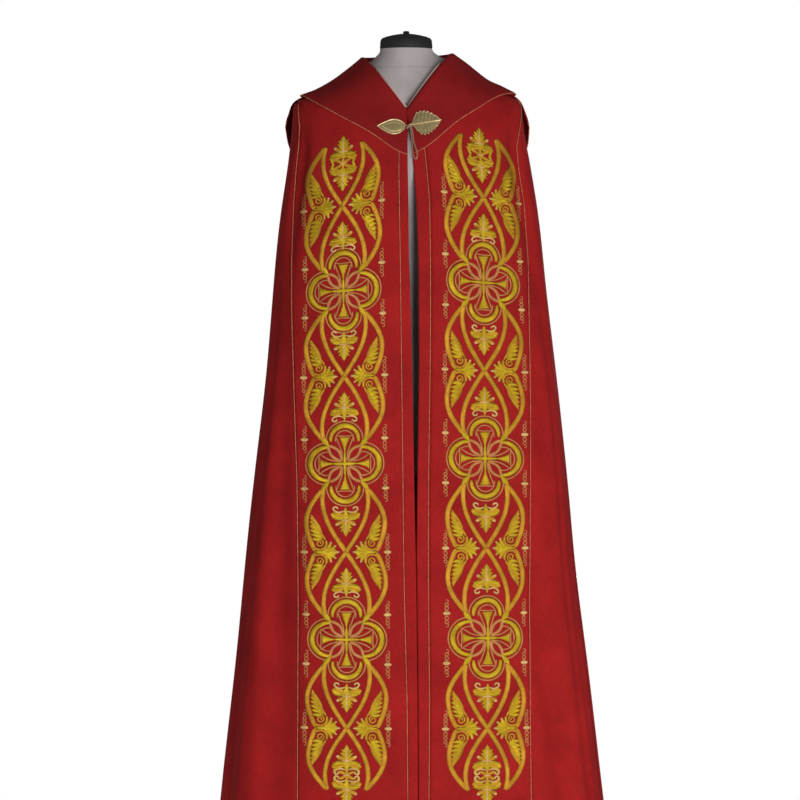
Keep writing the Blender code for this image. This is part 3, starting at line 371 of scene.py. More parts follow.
def turn_gap(turn, ring, gap):
    """The turn, in degrees, that a gap along a ring takes up."""
    step = 0.5
    span = drape(turn + step, ring) - drape(turn - step, ring)
    return gap * 2 * step / max(float(np.linalg.norm(span)), 1e-6)


class FrontMap:
    """Finds the (turn, ring) of a place on the fronts from its x and z."""

    STEP_X, STEP_Z = 0.003, 0.004

    def __init__(self, folds):
        self.xs = np.arange(-0.262, 0.2625, self.STEP_X)
        self.zs = np.arange(0.036, 1.5825, self.STEP_Z)
        rings = np.linspace(0.0, HEM_RING, 321)
        turns = np.linspace(-89.5, 89.5, 359)
        points = drape(turns[None, :], rings[:, None], folds)
        if folds:  # where the cloth turns back under itself, keep to the layer that faces out
            middle, creep = len(turns) // 2, 1e-7 * np.arange(len(turns) // 2 + 1)
            points[:, middle:, 0] = np.maximum.accumulate(points[:, middle:, 0], axis=1) + creep
            points[:, :middle + 1, 0] = np.minimum.accumulate(
                points[:, middle::-1, 0], axis=1)[:, ::-1] - creep[::-1]
        by_ring = np.array([np.interp(self.xs, row[:, 0], turns) for row in points])
        heights = np.array([np.interp(self.xs, row[:, 0], row[:, 2]) for row in points])
        columns = range(len(self.xs))
        self.ring = np.array([np.interp(-self.zs, -heights[:, j], rings) for j in columns])
        self.turn = np.array([np.interp(self.ring[j], rings, by_ring[:, j]) for j in columns])

    def __call__(self, x, z):
        i = np.clip((np.asarray(x) - self.xs[0]) / self.STEP_X, 0, len(self.xs) - 1.001)
        j = np.clip((np.asarray(z) - self.zs[0]) / self.STEP_Z, 0, len(self.zs) - 1.001)
        i0, j0 = i.astype(int), j.astype(int)
        u, v = i - i0, j - j0
        return [
            grid[i0, j0] * (1 - u) * (1 - v) + grid[i0 + 1, j0] * u * (1 - v)
            + grid[i0, j0 + 1] * (1 - u) * v + grid[i0 + 1, j0 + 1] * u * v
            for grid in (self.turn, self.ring)
        ]


# ---------------------------------------------------------------- materials
def add_node(nodes, kind, values):
    """A new node. values sets its inputs and its properties by name, or inputs by number."""
    node = nodes.new(kind)
    for key, value in values.items():
        if isinstance(key, int) or key in node.inputs.keys():
            node.inputs[key].default_value = value
        else:
            setattr(node, key, value)
    return node


class Term:
    """A shader node's output, as a term in a sum. of feeds it to a math node, before more."""

    def __init__(self, paint, out):
        self.paint, self.out = paint, out

    def of(self, operation, *more):
        node = self.paint.add("ShaderNodeMath", operation=operation)
        for socket, value in zip(node.inputs, (self, *more)):
            self.paint.feed(socket, value)
        return Term(self.paint, node.outputs[0])

    def __add__(self, other):
        return self.of("ADD", other)

    def __sub__(self, other):
        return self.of("SUBTRACT", other)

    def __mul__(self, other):
        return self.of("MULTIPLY", other)


class Paint:
    """A material in the making."""

    def __init__(self, name):
        self.made = bpy.data.materials.new(name)
        self.made.use_nodes = True
        self.nodes = self.made.node_tree.nodes
        self.shader = self.nodes["Principled BSDF"].inputs

    def add(self, kind, **values):
        return add_node(self.nodes, kind, values)

    def feed(self, socket, value):
        if isinstance(value, Term):
            self.made.node_tree.links.new(value.out, socket)
        else:
            socket.default_value = value

    def source(self, kind, out, **values):
        return Term(self, self.add(kind, **values).outputs[out])

    def attribute(self, name):
        return self.source("ShaderNodeAttribute", "Fac", attribute_name=name)

    def place(self):
        return self.source("ShaderNodeTexCoord", "Object")

    def parts(self, vector):
        split = self.add("ShaderNodeSeparateXYZ")
        self.feed(split.inputs[0], vector)
        return [Term(self, out) for out in split.outputs]

    def noise(self, vector, scale, detail, roughness):
        made = self.add("ShaderNodeTexNoise", Scale=scale, Detail=detail, Roughness=roughness)
        self.feed(made.inputs["Vector"], vector)
        return Term(self, made.outputs["Fac"])

    def finish(self, values):
        for key, value in values.items():
            self.feed(self.shader[key], value)
        return self.made

    def cover(self, shade, stops, relief, depth, strength, values):
        """Colours by stops along shade, with a bump of relief, and the shader's other values."""
        colours = self.add("ShaderNodeValToRGB")
        while len(colours.color_ramp.elements) < len(stops):
            colours.color_ramp.elements.new(0.5)
        for element, (place, colour) in zip(colours.color_ramp.elements, stops):
            element.position = place
            element.color = (*colour, 1.0)
        self.feed(colours.inputs["Fac"], shade)
        bump = self.add("ShaderNodeBump", Strength=strength, Distance=depth)
        self.feed(bump.inputs["Height"], relief)
        return self.finish({
            "Base Color": Term(self, colours.outputs["Color"]),
            "Normal": Term(self, bump.outputs["Normal"]), **values})


def woven_cloth(name, dark, light, thread):
    """Fine twill on the piece's own UV map, which is in metres across and down."""
    paint = Paint(name)
    uv = paint.source("ShaderNodeUVMap", "UV", uv_map="cut")
    across, down = (way * (2 * math.pi / thread) for way in paint.parts(uv)[:2])
    twill = across.of("SINE") * down.of("SINE") + ((across + down) * 0.5).of("SINE") * 0.6
    streaks = paint.add("ShaderNodeMapping", Scale=(900.0, 60.0, 1.0))
    paint.feed(streaks.inputs["Vector"], uv)
    uneven = paint.noise(Term(paint, streaks.outputs["Vector"]), 1.0, 3.0, 0.6)
    place = paint.place()
    cloudy, grain = paint.noise(place, 14.0, 4.0, 0.55), paint.noise(place, 420.0, 2.0, 0.7)
    shade = uneven * 0.45 + cloudy * 0.35 + grain * 0.22 + twill * 0.05
    return paint.cover(
        shade, ((0.25, dark), (0.68, light)), twill * 0.35 + uneven, 0.00010, 0.8, {
            "Roughness": 0.85, "Specular IOR Level": 0.12, "Sheen Weight": 0.05,
            "Sheen Roughness": 0.45, "Sheen Tint": (*light, 1.0)})


def gold_thread(name, dark, light, slant, roughness, metallic):
    """Metallic thread in rows across a stitched shape: its UV is metres along and across."""
    paint = Paint(name)
    along, across, _ = paint.parts(paint.source("ShaderNodeUVMap", "UV", uv_map="stitch"))
    leaning = along + across * slant
    count = leaning * (2 * math.pi / GOLD_THREAD)
    rows, group = count.of("SINE"), (count * 0.19).of("SINE")
    lengthwise = paint.add("ShaderNodeCombineXYZ")
    paint.feed(lengthwise.inputs[0], leaning * 1600.0)
    paint.feed(lengthwise.inputs[1], across * 90.0)
    uneven = paint.noise(Term(paint, lengthwise.outputs[0]), 1.0, 2.0, 0.6)
    cloudy = paint.noise(paint.place(), 60.0, 2.0, 0.5)
    # Painted shade: the rim attribute darkens each strip towards its edges, and its couched edging
    # down to EDGE_BROWN.
    edge_painted_shade = paint.attribute("rim").of("POWER", 3.0) * 0.30
    shade = rows * 0.10 + group * 0.09 + uneven * 0.55 + cloudy * 0.40 - edge_painted_shade
    return paint.cover(
        shade, ((0.0, EDGE_BROWN), (0.22, dark), (0.72, light)),
        rows * 0.5 + (group * 0.5 + uneven), 0.00013, 0.9,
        {"Roughness": roughness, "Metallic": metallic, "Specular IOR Level": 0.25})


def cord_gold(name, dark, light):
    """The piping's twisted cord. Its fine plies follow the cord's own length."""
    paint = Paint(name)
    plies = (paint.attribute("along") * (2 * math.pi / (PIPING_PITCH / 5))).of("SINE")
    shade = plies * 0.14 + paint.noise(paint.place(), 120.0, 3.0, 0.6)
    return paint.cover(shade, ((0.3, dark), (0.7, light)), plies, 0.00012, 0.7,
                       {"Roughness": 0.52, "Metallic": 0.45})


def cast_metal(name, dark, light, roughness, grain_scale):
    """Cast antique metal with painted shade: dark in its low places, brighter on its ridges."""
    paint = Paint(name)
    place = paint.place()
    grain = paint.noise(place, grain_scale, 5.0, 0.65)
    stain = paint.noise(place, grain_scale * 0.22, 3.0, 0.6)
    # Painted shade: the relief attribute darkens the low places of the cast relief.
    shade = paint.attribute("relief") * 0.55 + grain * 0.35 + stain * 0.25
    return paint.cover(shade, ((0.28, dark), (0.80, light)), grain, 0.00018, 0.6, {
        "Roughness": grain.of("MULTIPLY_ADD", 0.25, roughness - 0.12), "Metallic": 0.65})


def jersey(name, dark, light):
    """Fine knitted cover: wales round the form's own axis, courses up it, a seam at the neck."""
    paint = Paint(name)
    place = paint.place()
    x, y, z = paint.parts(place)
    courses = (z * (2 * math.pi / KNIT_COURSE)).of("SINE")
    knit = (x.of("ARCTAN2", y) * KNIT_WALES).of("SINE") * courses
    away = (z - NECK_SEAM_Z).of("ABSOLUTE")
    seam = (away * (-1.0 / NECK_SEAM_WIDTH) + 1.0).of("MAXIMUM", 0.0)
    shade = knit * 0.06 + paint.noise(place, 18.0, 4.0, 0.6) - seam * 0.35
    return paint.cover(
        shade, ((0.0, SEAM_GREY), (0.35, dark), (0.65, light)), knit - seam * 6.0, 0.00010, 0.6,
        {"Roughness": 0.9, "Specular IOR Level": 0.2, "Sheen Weight": 0.15})


def coated(name, dark, light, roughness, scale, metallic=0.0, coat=0.0):
    """A painted or moulded surface with a fine mottle and slightly uneven gloss."""
    paint = Paint(name)
    mottle = paint.noise(paint.place(), scale, 6.0, 0.6)
    return paint.cover(mottle, ((0.35, dark), (0.65, light)), mottle, 0.00006, 0.5, {
        "Roughness": mottle.of("MULTIPLY_ADD", 0.2, roughness - 0.1),
        "Metallic": metallic, "Coat Weight": coat})


RED_CLOTH = woven_cloth(
    "red_cope_cloth", (0.130, 0.0028, 0.0034), (0.375, 0.0120, 0.0120), 0.0007)
# Painted shade: the collar's copy of the red cloth is darker than RED_CLOTH, standing in for the
# shade on its upturned faces.
COLLAR_SHADED_RED = woven_cloth(
    "red_collar_cloth_painted_shade", (0.105, 0.0028, 0.0036), (0.285, 0.0105, 0.0115), 0.0007)
CREAM_CLOTH = woven_cloth("cream_facing_cloth", (0.42, 0.28, 0.24), (0.62, 0.45, 0.39), 0.0006)
# Painted light: the yellow satin and the oranger band threads are lit and shaded copies of one gold
# thread, standing in for the sheen of threads laid towards or across the light.
THREADS = [gold_thread(f"{name}_gold_thread", *looks) for name, *looks in (
    ("satin", (0.27, 0.150, 0.004), (0.72, 0.500, 0.014), 0.35, 0.45, 0.50),
    ("shaded_band", (0.28, 0.115, 0.008), (0.74, 0.375, 0.022), 0.9, 0.48, 0.50),
    ("pale", (0.40, 0.20, 0.055), (0.82, 0.54, 0.22), 0.2, 0.45, 0.30),
    ("pink", (0.30, 0.095, 0.022), (0.66, 0.285, 0.095), 0.6, 0.48, 0.30),
)]
SATIN, BAND, PALE, LINE = range(len(THREADS))
PIPING_GOLD = cord_gold("piping_cord", (0.36, 0.080, 0.038), (0.70, 0.235, 0.120))
CLASP_METAL = cast_metal(
    "antique_gold_metal", (0.17, 0.155, 0.050), (0.78, 0.56, 0.30), 0.50, 900.0)
WIRE_METAL = cast_metal("worn_wire_metal", (0.16, 0.10, 0.06), (0.62, 0.44, 0.30), 0.40, 700.0)
FORM_JERSEY = jersey("form_jersey_cover", (0.36, 0.325, 0.320), (0.42, 0.380, 0.372))
CAP_BLACK = coated("cap_black_lacquer", (0.003, 0.003, 0.003), (0.006, 0.005, 0.005), 0.75, 260.0)
STAND_BLACK = coated(
    "stand_black_enamel", (0.022, 0.022, 0.024), (0.050, 0.050, 0.053), 0.42, 90.0, 0.3, 0.2)


# ---------------------------------------------------------------- mesh helpers
def show(name, data):
    made = bpy.data.objects.new(name, data)
    bpy.context.scene.collection.objects.link(made)
    return made


def new_piece(name, points, faces, materials, uvs=None, uv_name="cut", slots=None, values=None):
    """A smooth mesh. uvs has one pair a point, slots a material number a face, and values holds
    point attributes by name."""
    mesh = bpy.data.meshes.new(name)
    mesh.from_pydata(np.asarray(points, float).tolist(), [], [
        tuple(map(int, face)) for face in faces])
    for each in materials:
        mesh.materials.append(each)
    if uvs is not None:
        corner_points = np.empty(len(mesh.loops), dtype=np.int32)
        mesh.loops.foreach_get("vertex_index", corner_points)
        layer = mesh.uv_layers.new(name=uv_name)
        layer.data.foreach_set("uv", np.asarray(uvs, float)[corner_points].astype("f").ravel())
    if slots is not None:
        mesh.polygons.foreach_set("material_index", np.asarray(slots, dtype=np.int32))
    for key, numbers in (values or {}).items():
        set_values(mesh, key, numbers)
    mesh.shade_smooth()
    mesh.update()
    return show(name, mesh)


def set_values(mesh, name, numbers):
    attribute = mesh.attributes.new(name, "FLOAT", "POINT")
    attribute.data.foreach_set("value", np.asarray(numbers, dtype="f"))


def turn_outwards(made):
    """Flips a closed mesh whose faces point inwards."""
    mesh = made.data
    mesh.calc_loop_triangles()
    places = np.empty(len(mesh.vertices) * 3)
    mesh.vertices.foreach_get("co", places)
    corners = np.empty(len(mesh.loop_triangles) * 3, dtype=np.int32)
    mesh.loop_triangles.foreach_get("vertices", corners)
    a, b, c = places.reshape(-1, 3)[corners.reshape(-1, 3)].transpose(1, 0, 2)
    if np.einsum("ij,ij->", a, np.cross(b, c)) < 0:
        mesh.flip_normals()
    return made


def sharpen(made, degrees):
    made.data.set_sharp_from_angle(angle=math.radians(degrees))
    return made


def settle(made, node):
    """Hangs a piece from the root body, and hides the solid that it stands for."""
    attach(made, "root")
    if node:
        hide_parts(node)
    return made


def ring_faces(count, sides):
    """The faces between rings of points that close on themselves."""
    return [
        (i * sides + j, i * sides + k, (i + 1) * sides + k, (i + 1) * sides + j)
        for i in range(count - 1) for j in range(sides) for k in ((j + 1) % sides,)
    ]


def ringed_body(name, rings, ends, finish, soft):
    """A closed body from rings of points, and the middle points of its first and last ring. Edges
    sharper than soft stay sharp."""
    count, sides = len(rings), len(rings[0])
    first, last = count * sides, (count - 1) * sides
    faces = ring_faces(count, sides)
    for j in range(sides):
        k = (j + 1) % sides
        faces += [(first, k, j), (first + 1, last + j, last + k)]
    made = new_piece(name, np.concatenate([*rings, ends]), faces, [finish])
    return sharpen(turn_outwards(made), soft)


def grid_faces(rows, columns, start=0):
    i, j = np.meshgrid(np.arange(rows - 1), np.arange(columns - 1), indexing="ij")
    a = (start + i * columns + j).ravel()
    return np.stack([a, a + 1, a + 1 + columns, a + columns], -1)


def arc_map(points):
    """Each point's place in the cut: metres across from the middle column, and metres down."""
    across = np.linalg.norm(np.diff(points, axis=1), axis=2)
    across = np.concatenate([np.zeros((len(points), 1)), np.cumsum(across, axis=1)], axis=1)
    across = across - across[:, points.shape[1] // 2][:, None]
    down = np.linalg.norm(np.diff(points, axis=0), axis=2).mean(axis=1)
    down = np.concatenate([[0.0], np.cumsum(down)])
    return np.stack([across, np.repeat(down[:, None], points.shape[1], axis=1)], -1)


def cut_size(points):
    """The flat width, length and area of a piece of cloth, from the middle of its wall."""
    round_it = np.linalg.norm(np.diff(points, axis=1), axis=2).sum(axis=1)
    down_it = np.linalg.norm(np.diff(points, axis=0), axis=2).sum(axis=0)
    a, b = points[:-1, :-1], points[:-1, 1:]
    c, d = points[1:, 1:], points[1:, :-1]
    area = 0.5 * np.linalg.norm(np.cross(c - a, d - b), axis=2).sum()
    return float(round_it.max()), float(down_it.max()), float(area)


def cloth(name, node, turns, rings, finish, lift=0.0, thickness=CLOTH, folds=1.0):
    """A piece of cloth with turned edges over the drape. turns and rings are grids."""
    lift = np.broadcast_to(lift, turns.shape)
    middle = lifted(turns, rings, lift, folds)
    half = drape_normal(turns, rings, folds) * thickness / 2
    outer, inner = middle + half, middle - half
    rows, columns = turns.shape
    count = rows * columns
    rim = np.array(
        [(0, j) for j in range(columns)] + [(i, columns - 1) for i in range(1, rows)]
        + [(rows - 1, j) for j in range(columns - 2, -1, -1)]
        + [(i, 0) for i in range(rows - 2, 0, -1)])
    inside = np.clip(rim, 1, (rows - 2, columns - 2))
    edge = middle[rim[:, 0], rim[:, 1]]
    away = edge - middle[inside[:, 0], inside[:, 1]]
    away /= np.maximum(np.linalg.norm(away, axis=1, keepdims=True), 1e-9)
    turned_edge = edge + away * min(0.4 * thickness, SEAM_HALF * 0.7)
    points = np.concatenate([outer.reshape(-1, 3), inner.reshape(-1, 3), turned_edge])
    front = grid_faces(rows, columns)
    behind = grid_faces(rows, columns, count)[:, ::-1]
    a = rim[:, 0] * columns + rim[:, 1]
    b, m = np.roll(a, -1), 2 * count + np.arange(len(rim))
    n = np.roll(m, -1)
    border = np.concatenate([
        np.stack([a, m, n, b], -1), np.stack([m, count + a, count + b, n], -1)])
    flat = arc_map(middle)
    uvs = np.concatenate([flat.reshape(-1, 2)] * 2 + [flat[rim[:, 0], rim[:, 1]]])
    made = turn_outwards(new_piece(
        name, points, np.concatenate([front, behind, border]), [finish], uvs))
    settle(made, node)
    width, length, area = cut_size(middle)
    return made


# ---------------------------------------------------------------- the cope
def rows_between(first, last):
    """Ring numbers about ten millimetres apart down the cope."""
    rows = [float(first)]
    for ring in range(first, last):
        steps = 6 if ring < 9 else 13
        rows += list(ring + np.arange(1, steps + 1) / steps)
    return np.array(rows)


COPE_ROWS = rows_between(NECK_RING, HEM_RING)
SIDE_RING = 5.0  # the shoulder tip, where the side cloth begins
SEAM_LIMIT = 88.0  # the turn that the orphrey's outer seam stays within, below the shoulder tip


def side_sign(side):
    return -1.0 if side == "right" else 1.0


def seam_turn(side, ring, shift):
    """The turn of the orphrey's outer seam: above the shoulder tip it is the shoulder seam."""
    out = side_sign(side)
    turn = turn_of_line(f"{side}_seam", ring, shift)
    if ring >= SIDE_RING:
        limit = SEAM_LIMIT + out * turn_gap(90.0, ring, shift)
    else:
        limit = 90.0 - turn_gap(90.0, ring, SEAM_HALF)
    return out * min(abs(turn), limit)


def spread(starts, ends, columns):
    share = np.linspace(0.0, 1.0, columns + 1)[None, :]
    starts, ends = np.array(starts)[:, None], np.array(ends)[:, None]
    return starts + (ends - starts) * share


def make_cope_side(side):
    """The four pieces of one side of the cope, from the front edge to the centre back."""
    out = side_sign(side)
    line = {
        key: [turn_of_line(f"{side}_{name}", r, out * shift) for r in COPE_ROWS]
        for key, name, shift in (
            ("edge", "edge", 0.0), ("band", "line", -SEAM_HALF), ("orphrey", "line", SEAM_HALF))
    }
    seam_in = [seam_turn(side, r, -out * SEAM_HALF) for r in COPE_ROWS]
    gap = np.array([turn_gap(90.0, r, SEAM_HALF) for r in COPE_ROWS])
    gap_back = np.array([turn_gap(180.0, r, SEAM_HALF) for r in COPE_ROWS])

    def lay(name, node, starts, ends, columns, rows=COPE_ROWS):
        turns = spread(starts, ends, columns)
        rings = np.repeat(rows[:, None], columns + 1, axis=1)
        return cloth(name, node, turns, rings, RED_CLOTH)

    lay(f"{side}_edge_strip", f"{side}_edge_band", line["edge"], line["band"], 6)
    lay(f"{side}_orphrey_panel", f"{side}_orphrey", line["orphrey"], seam_in, 34)
    low = COPE_ROWS >= SIDE_RING - 1e-9
    rows = COPE_ROWS[low]
    seam_out = [seam_turn(side, r, out * SEAM_HALF) for r in rows]
    lay(f"{side}_side_cloth", f"{side}_front", seam_out, out * (90.0 - gap[low]), 34, rows)
    lay(f"{side}_back_cloth", f"{side}_back", out * (90.0 + gap), out * (180.0 - gap_back), 96)


# ---------------------------------------------------------------- collar, hood, facing
def table_value(table, turn):
    """A table of the turn away from the front, read on either side with its corners eased. Its last
    column is the left side's."""
    turns, right, left = np.array([(row[0], row[1], row[-1]) for row in table]).T
    eased = []
    for step in (-6.0, -3.0, 0.0, 3.0, 6.0):
        signed = (np.asarray(turn, float) + step + 180.0) % 360.0 - 180.0
        away = np.abs(signed)
        eased.append(np.where(
            signed < 0, np.interp(away, turns, right), np.interp(away, turns, left)))
    return np.mean(eased, axis=0)


def back_share(turn):
    """0 on the front, 1 on the back, changing over the shoulder."""
    away = np.abs((np.asarray(turn, float) + 180.0) % 360.0 - 180.0)
    return smooth_step((away - 70.0) / 22.0)


def collar_lift(turn):
    return COLLAR_LIFT_FRONT + (COLLAR_LIFT_BACK - COLLAR_LIFT_FRONT) * back_share(turn)


def roll_swell(share):
    """What is left of the roll's rise, a share of the way from the roll to the collar's edge."""
    return ROLL_SWELL * np.clip(1 - ROLL_FADE * share, 0.0, 1.0)


FRONT_ZONE = 15.0  # the turns on each side of the front whose columns close up to its edges
COLLAR_TURNS = np.concatenate([
    np.arange(0.0, FRONT_ZONE, 1.5), np.arange(FRONT_ZONE, 360.0 - FRONT_ZONE, 2.5),
    np.arange(360.0 - FRONT_ZONE, 360.1, 1.5)])
COLLAR_SPREAD = (0.25, 0.5, 0.75, 1.0)


def collar_front_turn(ring, side):
    """The turn of a wing's front edge on a ring."""
    z = float(drape(0.0, ring)[2])
    heights, *edges = zip(*COLLAR_FRONT_X[::-1])
    x = np.interp(z, heights, edges[0 if side == "right" else 1])
    points = drape(SCAN, np.full_like(SCAN, ring))
    return float(np.interp(x, points[:, 0], SCAN))


def collar_grid():
    """The collar's turns, rings and lifts, a row for each place from the roll to the edge."""
    edge = table_value(COLLAR_EDGE, COLLAR_TURNS)
    raised = collar_lift(COLLAR_TURNS) - COLLAR_LIFT_FRONT
    rings, lifts = [], []
    for (ring, height), share in zip(COLLAR_ROLL, COLLAR_RAISE):
        rings.append(np.full_like(edge, NECK_RING + ring))
        lifts.append(height + raised * share)
    foot = NECK_RING + COLLAR_ROLL[-1][0]
    for share in COLLAR_SPREAD:
        rings.append(foot + (edge - foot) * share)
        lifts.append(collar_lift(COLLAR_TURNS) + roll_swell(share))
    at = np.concatenate([np.arange(0.0, 5.0, 0.25), np.linspace(5.0, len(rings) - 1.0, 34)])
    rings, lifts = spline(np.array(rings), at), spline(np.array(lifts), at)
    turns = np.repeat(COLLAR_TURNS[None, :], len(rings), axis=0).copy()
    for i, row in enumerate(rings):
        start = collar_front_turn(row[0], "left")
        end = collar_front_turn(row[-1], "right") + 360.0
        near, far = turns[i] < FRONT_ZONE, turns[i] > 360.0 - FRONT_ZONE
        turns[i][near] = start + turns[i][near] * (FRONT_ZONE - start) / FRONT_ZONE
        turns[i][far] = end - (360.0 - turns[i][far]) * (end - 360.0 + FRONT_ZONE) / FRONT_ZONE
    return turns, rings, lifts


def make_collar():
    turns, rings, lifts = collar_grid()
    puff = COLLAR_PUFF * np.sin(np.radians(turns * 5.0 + 40.0)) * smooth_step((rings - 2.2) / 0.8)
    puff *= smooth_step((200.0 - np.abs(turns - 180.0) - 30.0) / 40.0)
    cloth("collar_cloth", "collar", turns, rings, COLLAR_SHADED_RED,
          lift=lifts + np.maximum(puff, 0.0), thickness=COLLAR_CLOTH, folds=0.0)
    return turns, rings, lifts


def make_facing():
    turns = np.linspace(1.2, 358.8, 170)
    rows, heights = curve(FACING_ROLL, 21).T
    grid, rings = np.meshgrid(turns, rows)
    front = 1.0 - smooth_step((np.abs((turns + 180.0) % 360.0 - 180.0) - 50.0) / 25.0)
    lifts = FACING_FLAT + (heights[:, None] - FACING_FLAT) * front[None, :]
    cloth("neck_facing_strip", "neck_facing", grid, rings, CREAM_CLOTH,
          lift=lifts, thickness=FACING_CLOTH, folds=0.0)


def hood_grid():
    """The hood's turns, rings and lifts. It lies close under the collar, and stands off below."""
    line = np.concatenate(
        [[92.0, 93.0, 94.5], np.arange(96.0, 264.5, 2.0), [265.5, 267.0, 268.0]])
    edge = table_value(HOOD_EDGE, line)
    share = np.linspace(0.0, 1.0, 56)[:, None]
    rings = HOOD_TOP_RING + (edge[None, :] - HOOD_TOP_RING) * share
    turns = np.repeat(line[None, :], len(share), axis=0)
    free_ring = table_value(COLLAR_EDGE, line) + 0.25  # the first ring clear of the collar
    clear, reach = rings - free_ring, np.maximum(edge - free_ring, 0.3)
    away = np.abs(line - 180.0)
    side = smooth_step((away - 50.0) / 25.0) * smooth_step((91.0 - away) / 7.0)
    below = np.clip(clear / reach, 0.0, 1.0)
    back_lift = (HOOD_LIFT_EDGE - HOOD_LIFT_TOP) * below**2
    side_lift = (HOOD_LIFT_SIDE - HOOD_LIFT_TOP) * side * smooth_step(below)
    lifts = HOOD_LIFT_TOP + np.maximum(back_lift, side_lift)
    lifts[0] = HOOD_LIFT_SEAM
    lifts = lifts + HOOD_RIPPLE * below * np.sin(np.radians(turns * 7.0))
    return turns, rings, lifts


def make_hood():
    turns, rings, lifts = hood_grid()
    cloth("hood_cloth", "hood", turns, rings, RED_CLOTH, lift=lifts,
          thickness=COLLAR_CLOTH, folds=0.0)
    return turns, rings, lifts


# ---------------------------------------------------------------- cords and chain, as node trees
def line_tree(name, made, numbers, nodes, links):
    """A node tree that makes a body along a line of points. numbers are its own inputs with their
    defaults. nodes gives the kind and the values of each node, and links says for each join which
    output of a node enters which input of another."""
    tree = bpy.data.node_groups.new(name, "GeometryNodeTree")
    kinds = {"Line": "Geometry", **dict.fromkeys(numbers, "Float"), "Finish": "Material"}
    for key, kind in kinds.items():
        socket = tree.interface.new_socket(
            name=key, in_out="INPUT", socket_type="NodeSocket" + kind)
        if key in numbers:
            socket.default_value = numbers[key]
    tree.interface.new_socket(name=made, in_out="OUTPUT", socket_type="NodeSocketGeometry")
    added = {
        key: add_node(tree.nodes, kind, values) for key, (kind, values) in {
            "given": ("NodeGroupInput", {}), "result": ("NodeGroupOutput", {}),
            "curve": ("GeometryNodeMeshToCurve", {}),
            "even": ("GeometryNodeResampleCurve", {"mode": "LENGTH"}), **nodes,
            "whole": ("GeometryNodeRealizeInstances", {}),
            "smooth": ("GeometryNodeSetShadeSmooth", {}),
            "finish": ("GeometryNodeSetMaterial", {}),
        }.items()
    }
    for start, out, end, into in (
        ("given", "Line", "curve", 0), ("curve", 0, "even", "Curve"), *links,
        ("whole", 0, "smooth", "Geometry"), ("smooth", 0, "finish", "Geometry"),
        ("given", "Finish", "finish", "Material"), ("finish", 0, "result", 0),
    ):
        tree.links.new(added[start].outputs[out], added[end].inputs[into])
    return tree


CORD_TREE = line_tree(
    "twisted_cord_along_line", "Cord",
    {"Radius": PIPING_RADIUS, "Pitch": PIPING_PITCH, "Step": 0.0013, "Flatness": 0.62},
    {
        "place": ("GeometryNodeSplineParameter", {}),
        "store": ("GeometryNodeStoreNamedAttribute", {
            "data_type": "FLOAT", "domain": "POINT", "Name": "along"}),
        "turns": ("ShaderNodeMath", {"operation": "DIVIDE"}),
        "angle": ("ShaderNodeMath", {"operation": "MULTIPLY", 1: 2 * math.pi}),
        "tilt": ("GeometryNodeSetCurveTilt", {}),
        "ring": ("GeometryNodeCurvePrimitiveCircle", {"Resolution": 8}),
        "flat": ("ShaderNodeCombineXYZ", {"X": 1.0, "Z": 1.0}),
        "flatten": ("GeometryNodeTransform", {}),
        "sweep": ("GeometryNodeCurveToMesh", {"Fill Caps": True}),
    },
    (
        ("given", "Step", "even", "Length"), ("even", 0, "store", "Geometry"),
        ("place", "Length", "store", "Value"), ("place", "Length", "turns", 0),
        ("given", "Pitch", "turns", 1), ("turns", 0, "angle", 0),
        ("store", "Geometry", "tilt", "Curve"), ("angle", 0, "tilt", "Tilt"),
        ("given", "Radius", "ring", "Radius"), ("given", "Flatness", "flat", "Y"),
        ("ring", 0, "flatten", "Geometry"), ("flat", 0, "flatten", "Scale"),
        ("tilt", 0, "sweep", "Curve"), ("flatten", 0, "sweep", "Profile Curve"),
        ("sweep", 0, "whole", 0),
    ))
# Oval links, every second one turned a quarter.
CHAIN_TREE = line_tree(
    "oval_links_along_line", "Chain",
    {"Link Pitch": 0.0026, "Link Radius": 0.0012, "Wire Radius": 0.00036},
    {
        "oval": ("GeometryNodeCurvePrimitiveCircle", {"Resolution": 12}),
        "stretch": ("GeometryNodeTransform", {"Scale": (1.6, 1.0, 1.0)}),
        "wire": ("GeometryNodeCurvePrimitiveCircle", {"Resolution": 6}),
        "sweep": ("GeometryNodeCurveToMesh", {}),
        "tangent": ("GeometryNodeInputTangent", {}),
        "align": ("FunctionNodeAlignRotationToVector", {"axis": "X"}),
        "number": ("GeometryNodeInputIndex", {}),
        "parity": ("ShaderNodeMath", {"operation": "MODULO", 1: 2.0}),
        "quarter": ("ShaderNodeMath", {"operation": "MULTIPLY", 1: math.pi / 2}),
        "about": ("FunctionNodeAxisAngleToRotation", {"Axis": (1.0, 0.0, 0.0)}),
        "turn": ("FunctionNodeRotateRotation", {"rotation_space": "LOCAL"}),
        "place": ("GeometryNodeInstanceOnPoints", {}),
    },
    (
        ("given", "Link Pitch", "even", "Length"), ("given", "Link Radius", "oval", "Radius"),
        ("oval", 0, "stretch", "Geometry"), ("given", "Wire Radius", "wire", "Radius"),
        ("stretch", 0, "sweep", "Curve"), ("wire", 0, "sweep", "Profile Curve"),
        ("tangent", 0, "align", "Vector"), ("number", 0, "parity", 0),
        ("parity", 0, "quarter", 0), ("quarter", 0, "about", "Angle"),
        ("align", 0, "turn", 0), ("about", 0, "turn", 1), ("even", 0, "place", "Points"),
        ("sweep", 0, "place", "Instance"), ("turn", 0, "place", "Rotation"),
        ("place", 0, "whole", 0),
    ))


